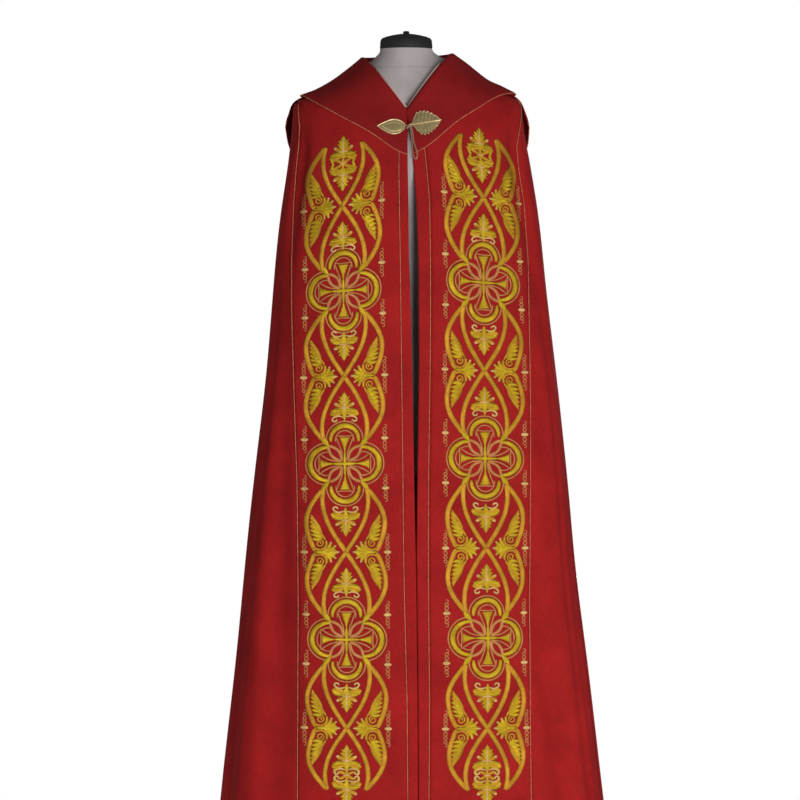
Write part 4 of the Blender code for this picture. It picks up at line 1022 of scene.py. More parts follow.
def run_tree(name, line, tree, finish):
    """Runs a node tree on a line of points and keeps the result as a plain mesh."""
    mesh = bpy.data.meshes.new(name + "_line")
    mesh.from_pydata(line.tolist(), [(i, i + 1) for i in range(len(line) - 1)], [])
    guide = show(name + "_line", mesh)
    modifier = guide.modifiers.new("tree", "NODES")
    modifier.node_group = tree
    modifier[tree.interface.items_tree["Finish"].identifier] = finish
    shown = guide.evaluated_get(bpy.context.evaluated_depsgraph_get())
    mesh = bpy.data.meshes.new_from_object(shown)
    mesh.name = name
    guide.modifiers.remove(modifier)
    bpy.data.objects.remove(guide)
    return turn_outwards(show(name, mesh))


def lay_cord(name, node, line):
    return settle(run_tree(name, line, CORD_TREE, PIPING_GOLD), node)


def make_front_cords(side):
    """The cords over the seams of a front, from the collar's edge to the hem."""
    for line, first, name in (("line", 3.60, "line_cord"), ("seam", 4.80, "seam_cord")):
        rows = np.concatenate([[first], COPE_ROWS[COPE_ROWS > first + 0.05]])
        turns = np.array([
            turn_of_line(f"{side}_line", r) if line == "line" else seam_turn(side, r, 0.0)
            for r in rows
        ])
        height = np.full(len(rows), CLOTH / 2 + PIPING_RADIUS * PIPING_RISE)
        lay_cord(f"{side}_{name}", f"{side}_{line}_piping", lifted(turns, rows, height))


def edge_line(grid):
    """A line just beyond the last row of the collar's or the hood's cloth."""
    inside, edge = (lifted(*(part[row] for part in grid), 0.0) for row in (-2, -1))
    normals = drape_normal(grid[0][-1], grid[1][-1], 0.0)
    across = np.cross(np.gradient(edge, axis=0), normals)
    across /= np.linalg.norm(across, axis=1, keepdims=True)
    across *= np.sign(np.sum(across * (edge - inside), axis=1, keepdims=True))
    return edge + across * CORD_OUT + normals * COLLAR_CLOTH * 0.1


# ---------------------------------------------------------------- embroidery
PATTERN_UNIT = 0.002072  # metres in one unit of the drawing below
STRIP_SECTION = (-1.0, -0.62, 0.0, 0.62, 1.0)
THIN_SECTION = (-1.0, 0.0, 1.0)
THIN_HALF = 0.0014  # half the width up to which a strip has the thin section
EDGING = 0.0009  # the couched edging round each strip, darkened by painted shade in the thread's finish
EDGE_HEIGHT, UNDER_HEIGHT = -0.00022, -0.0008  # a strip's edges and its underside, in the cloth
STRIP_WIDTH = 0.98
# The pattern's places down each panel: where its ribbons cross, and the quatrefoils between.
CROSSING_HEIGHTS = {
    "right": (1.3230, 0.9693, 0.6053, 0.2412), "left": (1.3400, 0.9809, 0.6133, 0.2406),
}
QUATREFOIL_HEIGHTS = {"right": (1.1467, 0.7884, 0.4246), "left": (1.1639, 0.7990, 0.4275)}
# Where the pattern's middle lies at each height, and the share of its full width that it has on
# the side of the front edge and on the far side, where the cloth turns away.
PANEL_COLUMNS = ("z", "centre", "near", "far")
PANELS = {
    "right": (
        (0.100, -0.1290, 1.02, 1.04), (0.241, -0.1290, 1.02, 1.04), (0.425, -0.1294, 1.03, 1.00),
        (0.605, -0.1305, 1.02, 1.03), (0.788, -0.1330, 1.00, 1.01), (0.969, -0.1346, 1.00, 1.00),
        (1.147, -0.1361, 0.965, 0.96), (1.323, -0.1386, 0.97, 0.95), (1.450, -0.1364, 0.96, 0.95),
    ),
    "left": (
        (0.100, 0.1610, 1.03, 0.98), (0.241, 0.1617, 1.03, 0.97), (0.4275, 0.1633, 1.03, 0.88),
        (0.613, 0.1592, 1.00, 0.96), (0.799, 0.1569, 0.99, 1.00), (0.981, 0.1555, 0.97, 1.00),
        (1.164, 0.1540, 0.95, 0.93), (1.340, 0.1542, 0.97, 0.87), (1.468, 0.1451, 0.96, 0.90),
    ),
}
# The weft drops away from the front edge, less so further down: (z, fall for each metre out).
WEFT_FALL = ((0.10, -0.010), (0.42, -0.004), (0.61, 0.004), (0.79, 0.018), (0.97, 0.038),
             (1.15, 0.070), (1.33, 0.145), (1.46, 0.160))


def ribbon(points, width, thread=BAND, count=26, rise=0.0007, ends=0.4):
    """A strip through a few points, in the drawing's units."""
    line, half = curve(points, count), np.full(count, width / 2)
    half[:2] *= (ends, 0.5 + ends / 2)
    half[-2:] *= (0.5 + ends / 2, ends)
    return line, half, thread, rise, False


def bowed(start, end, bow, width, thread=BAND, rise=0.0007, ends=0.5, count=24):
    """A strip from start to end that swells sideways by bow, a share of its length."""
    t = np.linspace(0.0, 1.0, count)[:, None]
    start, end = np.array(start, float), np.array(end, float)
    across = np.array([(end - start)[1], -(end - start)[0]])
    line = start + (end - start) * t + across * bow * np.sin(np.pi * t)
    return ribbon(line, width, thread, count, rise, ends)


def spine(rows, thread=SATIN, rise=0.0008, count=18):
    """A filled shape about a line: rows hold a place (u, v) and its half width there."""
    table = curve(rows, count)
    return table[:, :2], np.maximum(table[:, 2], 0.15), thread, rise, False


def petal(root, tip, half_width, thread=SATIN, bow=0.0, count=10, rise=0.0008, fullest=0.45):
    """A pointed petal from root to tip. bow bends it sideways."""
    t = np.linspace(0.0, 1.0, count)
    root, tip = np.array(root, float), np.array(tip, float)
    across = np.array([-(tip - root)[1], (tip - root)[0]])
    line = root + (tip - root) * t[:, None] + across * (bow * np.sin(np.pi * t))[:, None]
    power = math.log(0.5) / math.log(fullest)
    half = half_width * np.sin(np.pi * np.clip(t, 0.03, 0.97) ** power) ** 0.8
    return line, np.maximum(half, 0.12), thread, rise, False


def arc(centre, radius, start, end, width, thread=BAND, rise=0.0007, end_radius=None, taper=False):
    """A strip round a centre, in degrees from the drawing's +u. end_radius makes it a spiral."""
    span = abs(end - start)
    closed = span >= 360.0 and end_radius is None
    count = max(int(span / 360.0 * (14 + 2.0 * radius)), 8)
    t = np.linspace(0.0, 1.0, count, endpoint=not closed)
    angle = np.radians(start + (end - start) * t)
    reach = radius + (0.0 if end_radius is None else end_radius - radius) * t
    line = np.array(centre, float) + reach[:, None] * np.stack([np.cos(angle), np.sin(angle)], -1)
    half = np.full(count, width / 2)
    if taper:
        half *= 0.45 + 0.55 * np.sin(np.pi * t) ** 0.6
    return line, half, thread, rise, closed


def bead(at, long_half, short_half, thread=PALE, rise=0.0011):
    """A small raised oval."""
    t = np.linspace(-0.96, 0.96, 9)
    line = np.array(at, float) + t[:, None] * long_half * np.array([1.0, 0.0])
    return line, short_half * np.sqrt(1.0 - t**2), thread, rise, False


def mirrored(motif, u=1.0, v=1.0):
    return [(line * [u, v], *rest) for line, *rest in motif]


def moved(motif, u, v):
    return [(line + [u, v], *rest) for line, *rest in motif]


def turned_by(motif, degrees):
    c, s = math.cos(math.radians(degrees)), math.sin(math.radians(degrees))
    spin = np.array([[c, s], [-s, c]])
    return [(line @ spin, *rest) for line, *rest in motif]


def crossing_quarter(over, last):
    """One quarter of a crossing: its two ribbons and the scrolled leaf between them. over lifts
    its inner ribbon over the other one. The last quarter's ribbons close in a point."""
    reach, quarter_wave, top = (21.0, 47.0, 61.5) if last else (22.5, 52.0, 64.0)
    climb = np.linspace(0.0, top, 18)
    swing = reach * np.sin(0.5 * np.pi * climb / quarter_wave)
    parts = [
        ribbon(np.stack([swing, climb], -1), 4.6, count=40, rise=0.0012 if over else 0.0007,
               ends=0.9),
        bowed((30.0, 0.5), (swing[-1], top), 0.20, 4.8, count=44),
        arc((25.6, 8.9), 6.6, -40.0, -205.0, 2.5, rise=0.0010),
        bowed((19.6, 11.7), (34.0, 38.0), 0.03, 2.5, rise=0.0010, ends=0.3),
        petal((24.6, 12.0), (33.8, 37.5), 4.6, fullest=0.36, rise=0.0007, count=14),
        arc((25.6, 8.9), 4.3, 60.0, 580.0, 1.7, end_radius=0.9, rise=0.0009),
    ]
    for i, t in enumerate(np.linspace(0.0, 1.0, 6)):
        root = (22.5 + 8.9 * t, 14.0 + 18.5 * t)
        tip = (33.2 + 2.2 * math.sin(0.75 * math.pi * t), 13.8 + 21.5 * t)
        parts.append(petal(root, tip, 1.9 - 0.16 * i, SATIN if i < 4 else BAND, bow=-0.10,
                           fullest=0.55, rise=0.0011))
    return parts


def palmette():
    """The small fan on each side of a crossing, opening towards it."""
    fan = [
        spine([(29.6, 0, 0.9), (25.5, 0, 1.3), (21.8, 0, 2.2), (18.6, 0, 5.0), (15.4, 0, 6.4),
               (12.4, 0, 5.2), (9.8, 0, 2.2), (8.4, 0, 0.6)], rise=0.0007, count=16),
        petal((22.0, 0.0), (6.4, 0.0), 1.9, SATIN, fullest=0.62, rise=0.0012),
        petal((11.5, 0.0), (6.2, 0.0), 1.3, PALE, fullest=0.5, rise=0.0013),
    ]
    for v in (1, -1):
        fan += [
            petal((22.5, 1.0 * v), (9.8, 6.4 * v), 1.8, SATIN, bow=0.10 * v, fullest=0.66),
            petal((23.0, 1.4 * v), (14.4, 10.2 * v), 1.9, SATIN, bow=0.16 * v, fullest=0.66),
            petal((22.6, 2.2 * v), (18.4, 9.0 * v), 1.3, BAND, bow=0.14 * v, fullest=0.6),
            bead((10.4, 6.1 * v), 1.1, 0.9, PALE, 0.0012),
            bead((14.7, 9.4 * v), 1.2, 1.1, PALE, 0.0012),
        ]
    return fan + mirrored(fan, -1, 1)


def spray(foot=True):
    """A leafy bud that points down to the crossing below it, drawn round its band at the centre."""
    parts = [
        spine([(0, 12.6 if foot else 6.0, 0.6), (0, 6.5, 2.6), (0, 3.0, 4.6), (0, 0.2, 3.4),
               (0, -3.6, 4.6), (0, -7.4, 5.0), (0, -11.0, 3.6), (0, -16.2, 0.3)],
              rise=0.0008, count=26),
        petal((0, 4.5), (0, -14.6), 1.3, PALE, fullest=0.5, rise=0.0012),
        ribbon([(-4.9, 0.4), (0, -0.3), (4.9, 0.4)], 1.7, PALE, count=9, rise=0.0013),
    ]
    for u in (1, -1):
        parts += [
            petal((0.6 * u, -4.0), (5.6 * u, -11.4), 1.5, SATIN, bow=-0.14 * u, rise=0.0011),
            petal((0.8 * u, -1.0), (6.4 * u, -8.0), 1.6, SATIN, bow=-0.14 * u, rise=0.0010),
            spine([(1.0 * u, -0.6, 1.3), (4.6 * u, -2.2, 2.0), (7.8 * u, -3.6, 2.2),
                   (9.8 * u, -4.6, 0.9)], BAND, count=9),
            bead((8.6 * u, -4.2), 1.6, 1.5, PALE, 0.0012),
            spine([(0.8 * u, 2.6, 2.0), (5.0 * u, 3.4, 3.8), (9.2 * u, 4.6, 4.2),
                   (12.4 * u, 5.6, 2.6), (14.2 * u, 6.2, 0.6)], rise=0.0007, count=14),
            petal((2.0 * u, 1.8), (13.6 * u, 2.2), 1.5, SATIN, bow=0.06 * u, rise=0.0011),
            petal((2.0 * u, 3.6), (14.4 * u, 6.0), 1.6, BAND, bow=0.05 * u, rise=0.0011),
            petal((2.6 * u, 5.2), (12.0 * u, 9.6), 1.5, SATIN, bow=-0.08 * u, rise=0.0010),
        ]
        if foot:
            parts.append(ribbon([(1.0 * u, 9.4), (5.2 * u, 7.9), (9.6 * u, 8.6), (12.2 * u, 11.2),
                                 (10.8 * u, 13.2), (8.2 * u, 12.6), (7.6 * u, 10.9)], 1.9, PALE,
                                count=16, rise=0.0010))
    return parts


def double_leaf(reach):
    """Two buds back to back, each band reach from the middle, at the ends of the pattern."""
    half = moved(spray(foot=reach > 14.0), 0, -reach)
    return half + mirrored(half, 1, -1) + [
        ribbon([(-3.6, 0), (3.6, 0)], 1.8, PALE, count=5, rise=0.0013),
        petal((0, -9.0), (0, 9.0), 1.8, BAND, fullest=0.5),
        *(petal((0.6 * u, 0), (9.6 * u, 3.4 * v), 1.7, BAND, bow=0.12 * u * v)
          for u in (1, -1) for v in (1, -1)),
        *(ribbon([(12.2 * u, -6.5), (11.6 * u, -3.0), (10.4 * u, 0.0), (11.6 * u, 3.0),
                  (12.2 * u, 6.5)], 2.6, SATIN, count=12) for u in (1, -1)),
    ]


def quatrefoil():
    """Four interlaced rings round a cross with flared arms."""
    parts = []
    for degrees, place, reach, end, flare in (
        (0, 17.9, 16.5, 26.0, 10.6), (90, 24.0, 13.9, 27.9, 8.9),
        (180, 17.9, 16.5, 26.0, 10.6), (270, 24.0, 13.9, 27.9, 8.9),
    ):
        side = [(3.0, 2.0), (8.0, 2.6), (12.5, 3.3), (18.5, 5.6), (end, flare)]
        parts += turned_by([
            arc((place, 0), reach, -98.0, 98.0, 5.2, SATIN, rise=0.0010, taper=True),
            arc((place, 0), reach + 4.4, -92.0, 92.0, 1.5, LINE),
            arc((place, 0), reach - 4.8, -104.0, 104.0, 1.4, LINE),
            spine([(11.5, 0, 0.5), (17.0, 0, 1.7), (22.0, 0, 3.6), (end - 1.8, 0, 5.5)], count=10),
            spine([(1.0, 0, 1.7), (6.0, 0, 1.5), (12.0, 0, 0.9)], SATIN, 0.0010, 7),
            ribbon(side, 1.4, LINE, count=14),
            ribbon([(u, -v) for u, v in side], 1.4, LINE, count=14),
            ribbon([(end, flare), (end - 0.6, 0), (end, -flare)], 1.5, LINE, count=9),
        ], degrees)
    for u in (1, -1):
        for v in (1, -1):
            lens = [
                bowed((16.6, 18.4), (3.0, 2.8), -0.20, 3.0, LINE, 0.0009, count=16),
                bowed((16.6, 18.4), (3.0, 2.8), 0.20, 3.0, LINE, 0.0007, count=16),
                petal((15.6, 17.4), (23.6, 26.6), 2.9, SATIN, rise=0.0012, fullest=0.5),
            ]
            parts += mirrored(lens, u, v)
    return parts + [bead((0, 0), 2.8, 2.4, SATIN, 0.0012)]


def side_chain(rings=(5.2, 9.2, 13.2)):
    """A string of rings and an oval bead, along both sides of the pattern."""
    parts = [bead((0, 0), 3.7, 2.1)]
    for v in (1, -1):
        parts.append(bead((0, 2.9 * v), 1.7, 0.6, LINE, 0.0007))
        for i, place in enumerate(rings):
            parts.append(arc((0, place * v), 1.7 - 0.12 * i, 0.0, 360.0, 0.9, LINE, rise=0.0006))
        parts.append(arc((0.3, (rings[-1] + 3.4) * v), 1.8, -120.0 * v, 150.0 * v, 0.8, LINE,
                         end_radius=1.0))
    return parts


class Stitching:
    """Collects raised strips of thread, each a closed body with its underside in the cloth."""

    def __init__(self, side):
        self.out, self.panel = side_sign(side), np.array(PANELS[side]).T
        self.across, self.heights, self.uvs, self.faces, self.slots = [], [], [], [], []
        self.rims, self.count = [], 0

    def put(self, motif, z, u=0.0):
        for line, half, thread, rise, closed in motif:
            self.strip(self.on_panel(line + [u, 0.0], z), half * PATTERN_UNIT * STRIP_WIDTH,
                       thread, rise, closed)

    def on_panel(self, line, z):
        """A line's x and z, from its places in the drawing about the height z."""
        level = z + line[:, 1] * PATTERN_UNIT
        zs, centres, near, far = self.panel
        beyond = line[:, 0] * PATTERN_UNIT * self.out
        beyond = beyond * np.where(
            beyond > 0, np.interp(level, zs, far), np.interp(level, zs, near))
        fall = beyond * np.interp(level, *zip(*WEFT_FALL))
        return np.stack([np.interp(level, zs, centres) + beyond * self.out, level - fall], -1)

    def strip(self, line, half, thread, rise, closed):
        if closed:
            along = np.roll(line, -1, axis=0) - np.roll(line, 1, axis=0)
        else:
            along = np.gradient(line, axis=0)
        along /= np.maximum(np.linalg.norm(along, axis=1, keepdims=True), 1e-9)
        left = np.stack([-along[:, 1], along[:, 0]], -1)
        section = np.array(STRIP_SECTION if half.max() > THIN_HALF else THIN_SECTION)
        half = half[:, None]
        reach = half + np.minimum(EDGING, 0.25 * EDGING + 0.5 * half)
        # Across its top from edge to edge, and last the middle of its underside.
        offsets = np.hstack([-reach, section * half, reach, np.zeros_like(half)])
        count, wide = offsets.shape
        places = line[:, None, :] + left[:, None, :] * offsets[:, :, None]
        dome = 0.30 + 0.70 * np.sqrt(1.0 - section**2)
        heights = np.pad(dome * rise * np.clip(half / 0.0012, 0.45, 1.0), ((0, 0), (1, 2)),
                         constant_values=EDGE_HEIGHT)
        heights[:, -1] = UNDER_HEIGHT
        length = np.linalg.norm(np.diff(line, axis=0), axis=1)
        length = np.concatenate([[0.0], np.cumsum(length)])
        start, before = self.count, len(self.faces)
        for i in range(count if closed else count - 1):
            a, b = start + i * wide, start + (i + 1) % count * wide
            for j in range(wide):
                k = (j + 1) % wide
                self.faces.append((a + j, b + j, b + k, a + k))
        if not closed:
            end = start + (count - 1) * wide
            self.faces.append(tuple(range(start, start + wide)))
            self.faces.append(tuple(range(end + wide - 1, end - 1, -1)))
        self.slots += [thread] * (len(self.faces) - before)
        self.across.append(places.reshape(-1, 2))
        self.heights.append(heights.ravel())
        self.uvs.append(np.stack([np.repeat(length, wide), offsets.ravel()], -1))
        # rim: 0 along a strip's middle, 1 at its edges, 2 on its edging and underside; the thread's
        # finish paints shade from it.
        self.rims.append(np.tile([2.0, *np.abs(section), 2.0, 2.0], count))
        self.count += count * wide

    def sew(self, name, front_map):
        places, heights = np.concatenate(self.across), np.concatenate(self.heights)
        turns, rings = front_map(places[:, 0], places[:, 1])
        points = lifted(turns, rings, heights + CLOTH / 2)
        settle(new_piece(
            name, points, self.faces, THREADS, np.concatenate(self.uvs), "stitch", self.slots,
            {"rim": np.concatenate(self.rims)}), None)


def embroider(side, front_map):
    stitching = Stitching(side)
    fan, bud, foil, chain = palmette(), spray(), quatrefoil(), side_chain()
    short_chain = side_chain((5.0, 8.8))
    crossings = CROSSING_HEIGHTS[side]
    upper = -side_sign(side)  # which of the two ribbons runs over the other
    for number, z in enumerate(crossings):
        for v in (1, -1):
            for u in (1, -1):
                quarter = crossing_quarter(u * v == upper, (number, v) in ((0, 1), (3, -1)))
                stitching.put(mirrored(quarter, u, v), z)
        stitching.put(fan, z)
        if number > 0:
            stitching.put(moved(bud, 0, 31.8), z)
        if number < len(crossings) - 1:
            stitching.put(moved(mirrored(bud, 1, -1), 0, -31.8), z)
        for u in (40.6, -40.6):
            stitching.put(chain, z, u)
    stitching.put(moved(double_leaf(11.8), 0, 42.7), crossings[0])
    stitching.put(moved(double_leaf(14.3), 0, -46.8), crossings[-1])
    for z in QUATREFOIL_HEIGHTS[side]:
        stitching.put(foil, z)
        for u in (40.0, -40.0):
            for v in (24.8, -24.8):
                stitching.put(moved(short_chain, 0, v), z, u)
    stitching.sew(f"{side}_orphrey_embroidery", front_map)


# ---------------------------------------------------------------- clasp
LEAF_THICKNESS, LEAF_EDGE = 0.0022, 0.0007
LEAF_DOME = 0.0012  # how much higher a leaf's middle stands
RELIEF_TOP = 1.35
TOOTH_PEAK = 0.55  # how far along itself a tooth is at its widest
CLASP_OUT = (0.0, -0.96, 0.28)  # the way out from the collar at the clasp
CLASP_PLANE = (-0.1200, 1.4870, 0.42)  # between the leaves: its y at that height, and its lean
WIRE_RADIUS = 0.0008
WIRE_END = ((0.9, 0.35), (0.55, 0.8))  # its rounded ends, as shares of its radius: out and across
WIRE_RELIEF = 0.7  # where the wires stand on the metal's painted shade, between its low places and its ridges
RIGHT_LEAF = {
    "stem": (-0.0102, 1.4850), "tip": (-0.0680, 1.4880), "half_height": 0.0165, "gap": 0.0012,
    "body": (
        (0.0, 0.26), (0.06, 0.52), (0.16, 0.80), (0.30, 0.98), (0.42, 1.0), (0.58, 0.86),
        (0.76, 0.54), (0.90, 0.25), (1.0, 0.0),
    ),
}
LEFT_LEAF = {
    "stem": (0.0022, 1.4890), "tip": (0.0683, 1.5008), "half_height": 0.0264, "gap": 0.0015,
    "body": (
        (0.0, 0.04), (0.12, 0.09), (0.17, 0.42), (0.22, 0.80), (0.31, 0.96), (0.42, 1.0),
        (0.56, 0.93), (0.72, 0.70), (0.87, 0.38), (1.0, 0.0),
    ),
    "teeth": 9, "tooth_depth": 0.0046,
}
# The eye, the hook and the chain, as x, z and how far each place stands out from the collar.
EYE_ROUTE = (
    (-0.0063, 1.4901, 0.0020), (-0.0048, 1.4904, 0.0022), (-0.0032, 1.4900, 0.0022),
    (-0.0018, 1.4890, 0.0022), (-0.0012, 1.4876, 0.0022), (-0.0018, 1.4862, 0.0022),
    (-0.0032, 1.4852, 0.0022), (-0.0048, 1.4848, 0.0022), (-0.0063, 1.4851, 0.0020),
)
HOOK_ROUTE = (
    (0.0048, 1.4884, 0.0042), (0.0023, 1.4877, 0.0046), (-0.0009, 1.4873, 0.0047),
    (-0.0036, 1.4874, 0.0034), (-0.0042, 1.4879, 0.0014),
)
CHAIN_ROUTE = (
    (0.0057, 1.4851, 0.0044), (0.0074, 1.4780, 0.0044), (0.0085, 1.4700, 0.0042),
    (0.0090, 1.4620, 0.0040), (0.0102, 1.4530, 0.0040), (0.0130, 1.4430, 0.0040),
    (0.0160, 1.4345, 0.0040), (0.0171, 1.4275, 0.0040), (0.0164, 1.4215, 0.0040),
    (0.0138, 1.4185, 0.0040), (0.0106, 1.4205, 0.0040), (0.0086, 1.4265, 0.0040),
    (0.0075, 1.4350, 0.0040), (0.0070, 1.4450, 0.0040), (0.0064, 1.4560, 0.0040),
    (0.0054, 1.4670, 0.0042), (0.0044, 1.4760, 0.0044), (0.0036, 1.4829, 0.0046),
)


def on_collar(x, z, height):
    """Points over the collar's face at each x and z."""
    turn, ring = SMOOTH_MAP(np.asarray(x), np.asarray(z))
    edge = table_value(COLLAR_EDGE, turn)
    share = (ring - NECK_RING - 1.0) / (edge - NECK_RING - 1.0)
    face = collar_lift(turn) + roll_swell(share) + COLLAR_CLOTH / 2
    return lifted(turn, ring, face + height, 0.0)


def before_collar(route):
    x, z, height = np.array(route).T
    return on_collar(x, z, 0.0) + np.array(CLASP_OUT) * height[:, None]


def before_clasp(route):
    x, z, height = np.array(route).T
    y, start, lean = CLASP_PLANE
    return np.stack([x, y + lean * (z - start), z], -1) + np.array(CLASP_OUT) * height[:, None]


def leaf_plate(name, node, stem, tip, half_height, gap, body, teeth=0, tooth_depth=0.0):
    """A cast leaf from its stem to its tip: toothed with a midrib, or plain with a raised rim."""
    rimmed = not teeth
    stem, tip = np.array(stem), np.array(tip)
    length = float(np.linalg.norm(tip - stem))
    along = (tip - stem) / length
    across = np.array([-along[1], along[0]])
    t = np.linspace(0.004, 0.996, 97)
    q = np.linspace(-1.0, 1.0, 37)
    shape = np.mean([np.interp(t + d, *zip(*body)) for d in (-0.03, -0.015, 0.0, 0.015, 0.03)], 0)
    saw = (t * teeth) % 1.0
    rise = np.clip(saw / TOOTH_PEAK, 0.0, 1.0)
    drop = np.clip((saw - TOOTH_PEAK) / (1.0 - TOOTH_PEAK), 0.0, 1.0)
    tooth = np.sin(np.pi / 2 * rise) * np.cos(np.pi / 2 * drop) ** 0.8
    reach = half_height * shape - tooth_depth * (1.0 - tooth) * np.clip(shape * 1.5 - 0.3, 0.0, 1.0)
    reach = np.maximum(reach, 0.0002)
    a = (t * length)[:, None] + np.zeros_like(q)[None, :]
    b = reach[:, None] * q[None, :]
    if not rimmed:
        a = a + 0.10 * (np.abs(b) - half_height * 0.5)  # the teeth lean towards the tip
    inward = np.minimum((1 - np.abs(q))[None, :] * reach[:, None], np.minimum(a, length - a))
    if rimmed:
        rim = np.exp(-(((inward - 0.0017) / 0.0011) ** 2))
        oval = np.exp(-(((inward - 0.0075) / 0.0016) ** 2))
        shape = 0.25 + 0.95 * rim + 0.45 * oval
    else:
        rib = np.exp(-((b / 0.0014) ** 2))
        veins = 0.5 + 0.5 * np.cos(2 * np.pi * ((t * teeth)[:, None] - 0.5 - 0.9 * np.abs(
            b) / half_height))
        rim = np.exp(-(((inward - 0.0011) / 0.0009) ** 2))
        shape = 0.25 + 0.7 * rib + 0.20 * veins * np.clip(inward / 0.004, 0, 1) + 0.80 * rim
    edge = np.clip(inward / 0.0009, 0.0, 1.0) ** 0.5
    height = gap + LEAF_EDGE + (LEAF_THICKNESS - LEAF_EDGE) * np.clip(
        shape, 0, RELIEF_TOP) / RELIEF_TOP * edge
    height = height + LEAF_DOME * np.clip(inward / 0.012, 0, 1)
    x = stem[0] + along[0] * a + across[0] * b
    z = stem[1] + along[1] * a + across[1] * b
    top = on_collar(x, z, height)
    low = on_collar(x[:, [0, -1]], z[:, [0, -1]], np.full((len(t), 2), gap))
    rows, columns = x.shape
    faces = [tuple(face) for face in grid_faces(rows, columns)]
    base = rows * columns
    for i in range(rows - 1):
        a0, b0, low0 = i * columns, (i + 1) * columns, base + 2 * i
        faces.append((a0, b0, low0 + 2, low0))
        faces.append((b0 + columns - 1, a0 + columns - 1, low0 + 1, low0 + 3))
        faces.append((low0, low0 + 2, low0 + 3, low0 + 1))
    faces.append((*range(columns - 1, -1, -1), base, base + 1))
    end = (rows - 1) * columns
    faces.append((*range(end, end + columns), base + 2 * rows - 1, base + 2 * rows - 2))
    points = np.concatenate([top.reshape(-1, 3), low.reshape(-1, 3)])
    # The relief attribute carries the height of the cast relief, which the metal's finish turns
    # into painted shade.
    relief = np.clip(shape, 0, RELIEF_TOP).ravel() / RELIEF_TOP
    made = turn_outwards(new_piece(
        name, points, faces, [CLASP_METAL],
        values={"relief": np.concatenate([relief, np.zeros(2 * rows)])}))
    return settle(sharpen(made, 55.0), node)


def tube(name, points, radius, finish, sides=10):
    """A round wire along a line, with rounded ends."""
    points = np.asarray(points, float)
    along = np.gradient(points, axis=0)
    along /= np.linalg.norm(along, axis=1, keepdims=True)
    side = np.cross(along, np.array([0.0, -1.0, 0.2]))
    side /= np.linalg.norm(side, axis=1, keepdims=True)
    up = np.cross(side, along)
    angle = np.arange(sides) * 2 * np.pi / sides
    places = [(points[0] - along[0] * radius * back, side[0], up[0], share)
              for back, share in WIRE_END]
    places += [(*place, 1.0) for place in zip(points, side, up)]
    places += [(points[-1] + along[-1] * radius * back, side[-1], up[-1], share)
               for back, share in WIRE_END[::-1]]
    rings = [
        centre + (np.cos(angle)[:, None] * s + np.sin(angle)[:, None] * u) * radius * share
        for centre, s, u, share in places
    ]
    count = len(rings)
    faces = ring_faces(count, sides) + [
        range(sides - 1, -1, -1), range((count - 1) * sides, count * sides)]
    return turn_outwards(new_piece(
        name, np.concatenate(rings), faces, [finish],
        values={"relief": np.full(count * sides, WIRE_RELIEF)}))


def make_clasp():
    leaf_plate("right_leaf_plate", "right_clasp_leaf", **RIGHT_LEAF)
    leaf_plate("left_leaf_plate", "left_clasp_leaf", **LEFT_LEAF)
    for node, route in (("clasp_eye", EYE_ROUTE), ("clasp_hook", HOOK_ROUTE)):
        line = finer(before_clasp(route), 6)
        settle(tube(node + "_wire", line, WIRE_RADIUS, WIRE_METAL), node)
    line = finer(before_collar(CHAIN_ROUTE), 5)
    chain = run_tree("clasp_chain_links", line, CHAIN_TREE, WIRE_METAL)
    set_values(chain.data, "relief", np.full(len(chain.data.vertices), WIRE_RELIEF))
    settle(chain, "clasp_chain")


# ---------------------------------------------------------------- form and stand
FORM_SIDES = 96


def lathe(name, node, profile, finish, centre_x=0.0, segments=96):
    """A turned body from (radius, z), whose first and last points lie on its axis."""
    angle = np.arange(segments) * 2 * np.pi / segments
    rings = [
        np.stack([centre_x + r * np.sin(angle), -r * np.cos(angle), np.full(segments, z)], -1)
        for r, z in profile[1:-1]
    ]
    ends = [[centre_x, 0.0, profile[at][1]] for at in (0, -1)]
    return settle(ringed_body(name, rings, ends, finish, 35.0), node)


def form_ring(row, turns):
    columns = by_name(FORM_COLUMNS, row)
    columns["right_x"] = columns["left_x"] = columns.pop("side_x")
    columns["right_z"] = columns["left_z"] = columns.pop("side_z")
    columns["front_x"] = 0.0
    columns = {name: np.full(len(turns), value) for name, value in columns.items()}
    return rounded_ring(columns, turns)[0]


def make_form():
    turns = np.arange(FORM_SIDES) * 360.0 / FORM_SIDES
    depth = CLOTH / 2 + FORM_GAP
    rings = [
        form_ring(row, turns) + [share * NECK_LEAN, 0.0, 0.0]
        for row, share in zip(FORM_NECK, NECK_LEANS)
    ]
    rings += [lifted(turns, np.full(FORM_SIDES, r), np.full(FORM_SIDES, -depth), 0.0)
              for r in FORM_SHOULDER_RINGS]
    rings += [form_ring(row, turns) for row in FORM_TORSO]
    rows = finer(rings, 4)
    ends = [rows[0].mean(axis=0), rows[-1].mean(axis=0)]
    settle(ringed_body("dress_form", rows, ends, FORM_JERSEY, 50.0), "form_body")
    cap = [(r, NECK_TOP_Z + z) for r, z in ((0.0, CAP_PROFILE[0][1]), *CAP_PROFILE)][::-1]
    lathe("neck_cap_turned", "neck_cap", cap, CAP_BLACK, NECK_LEAN)


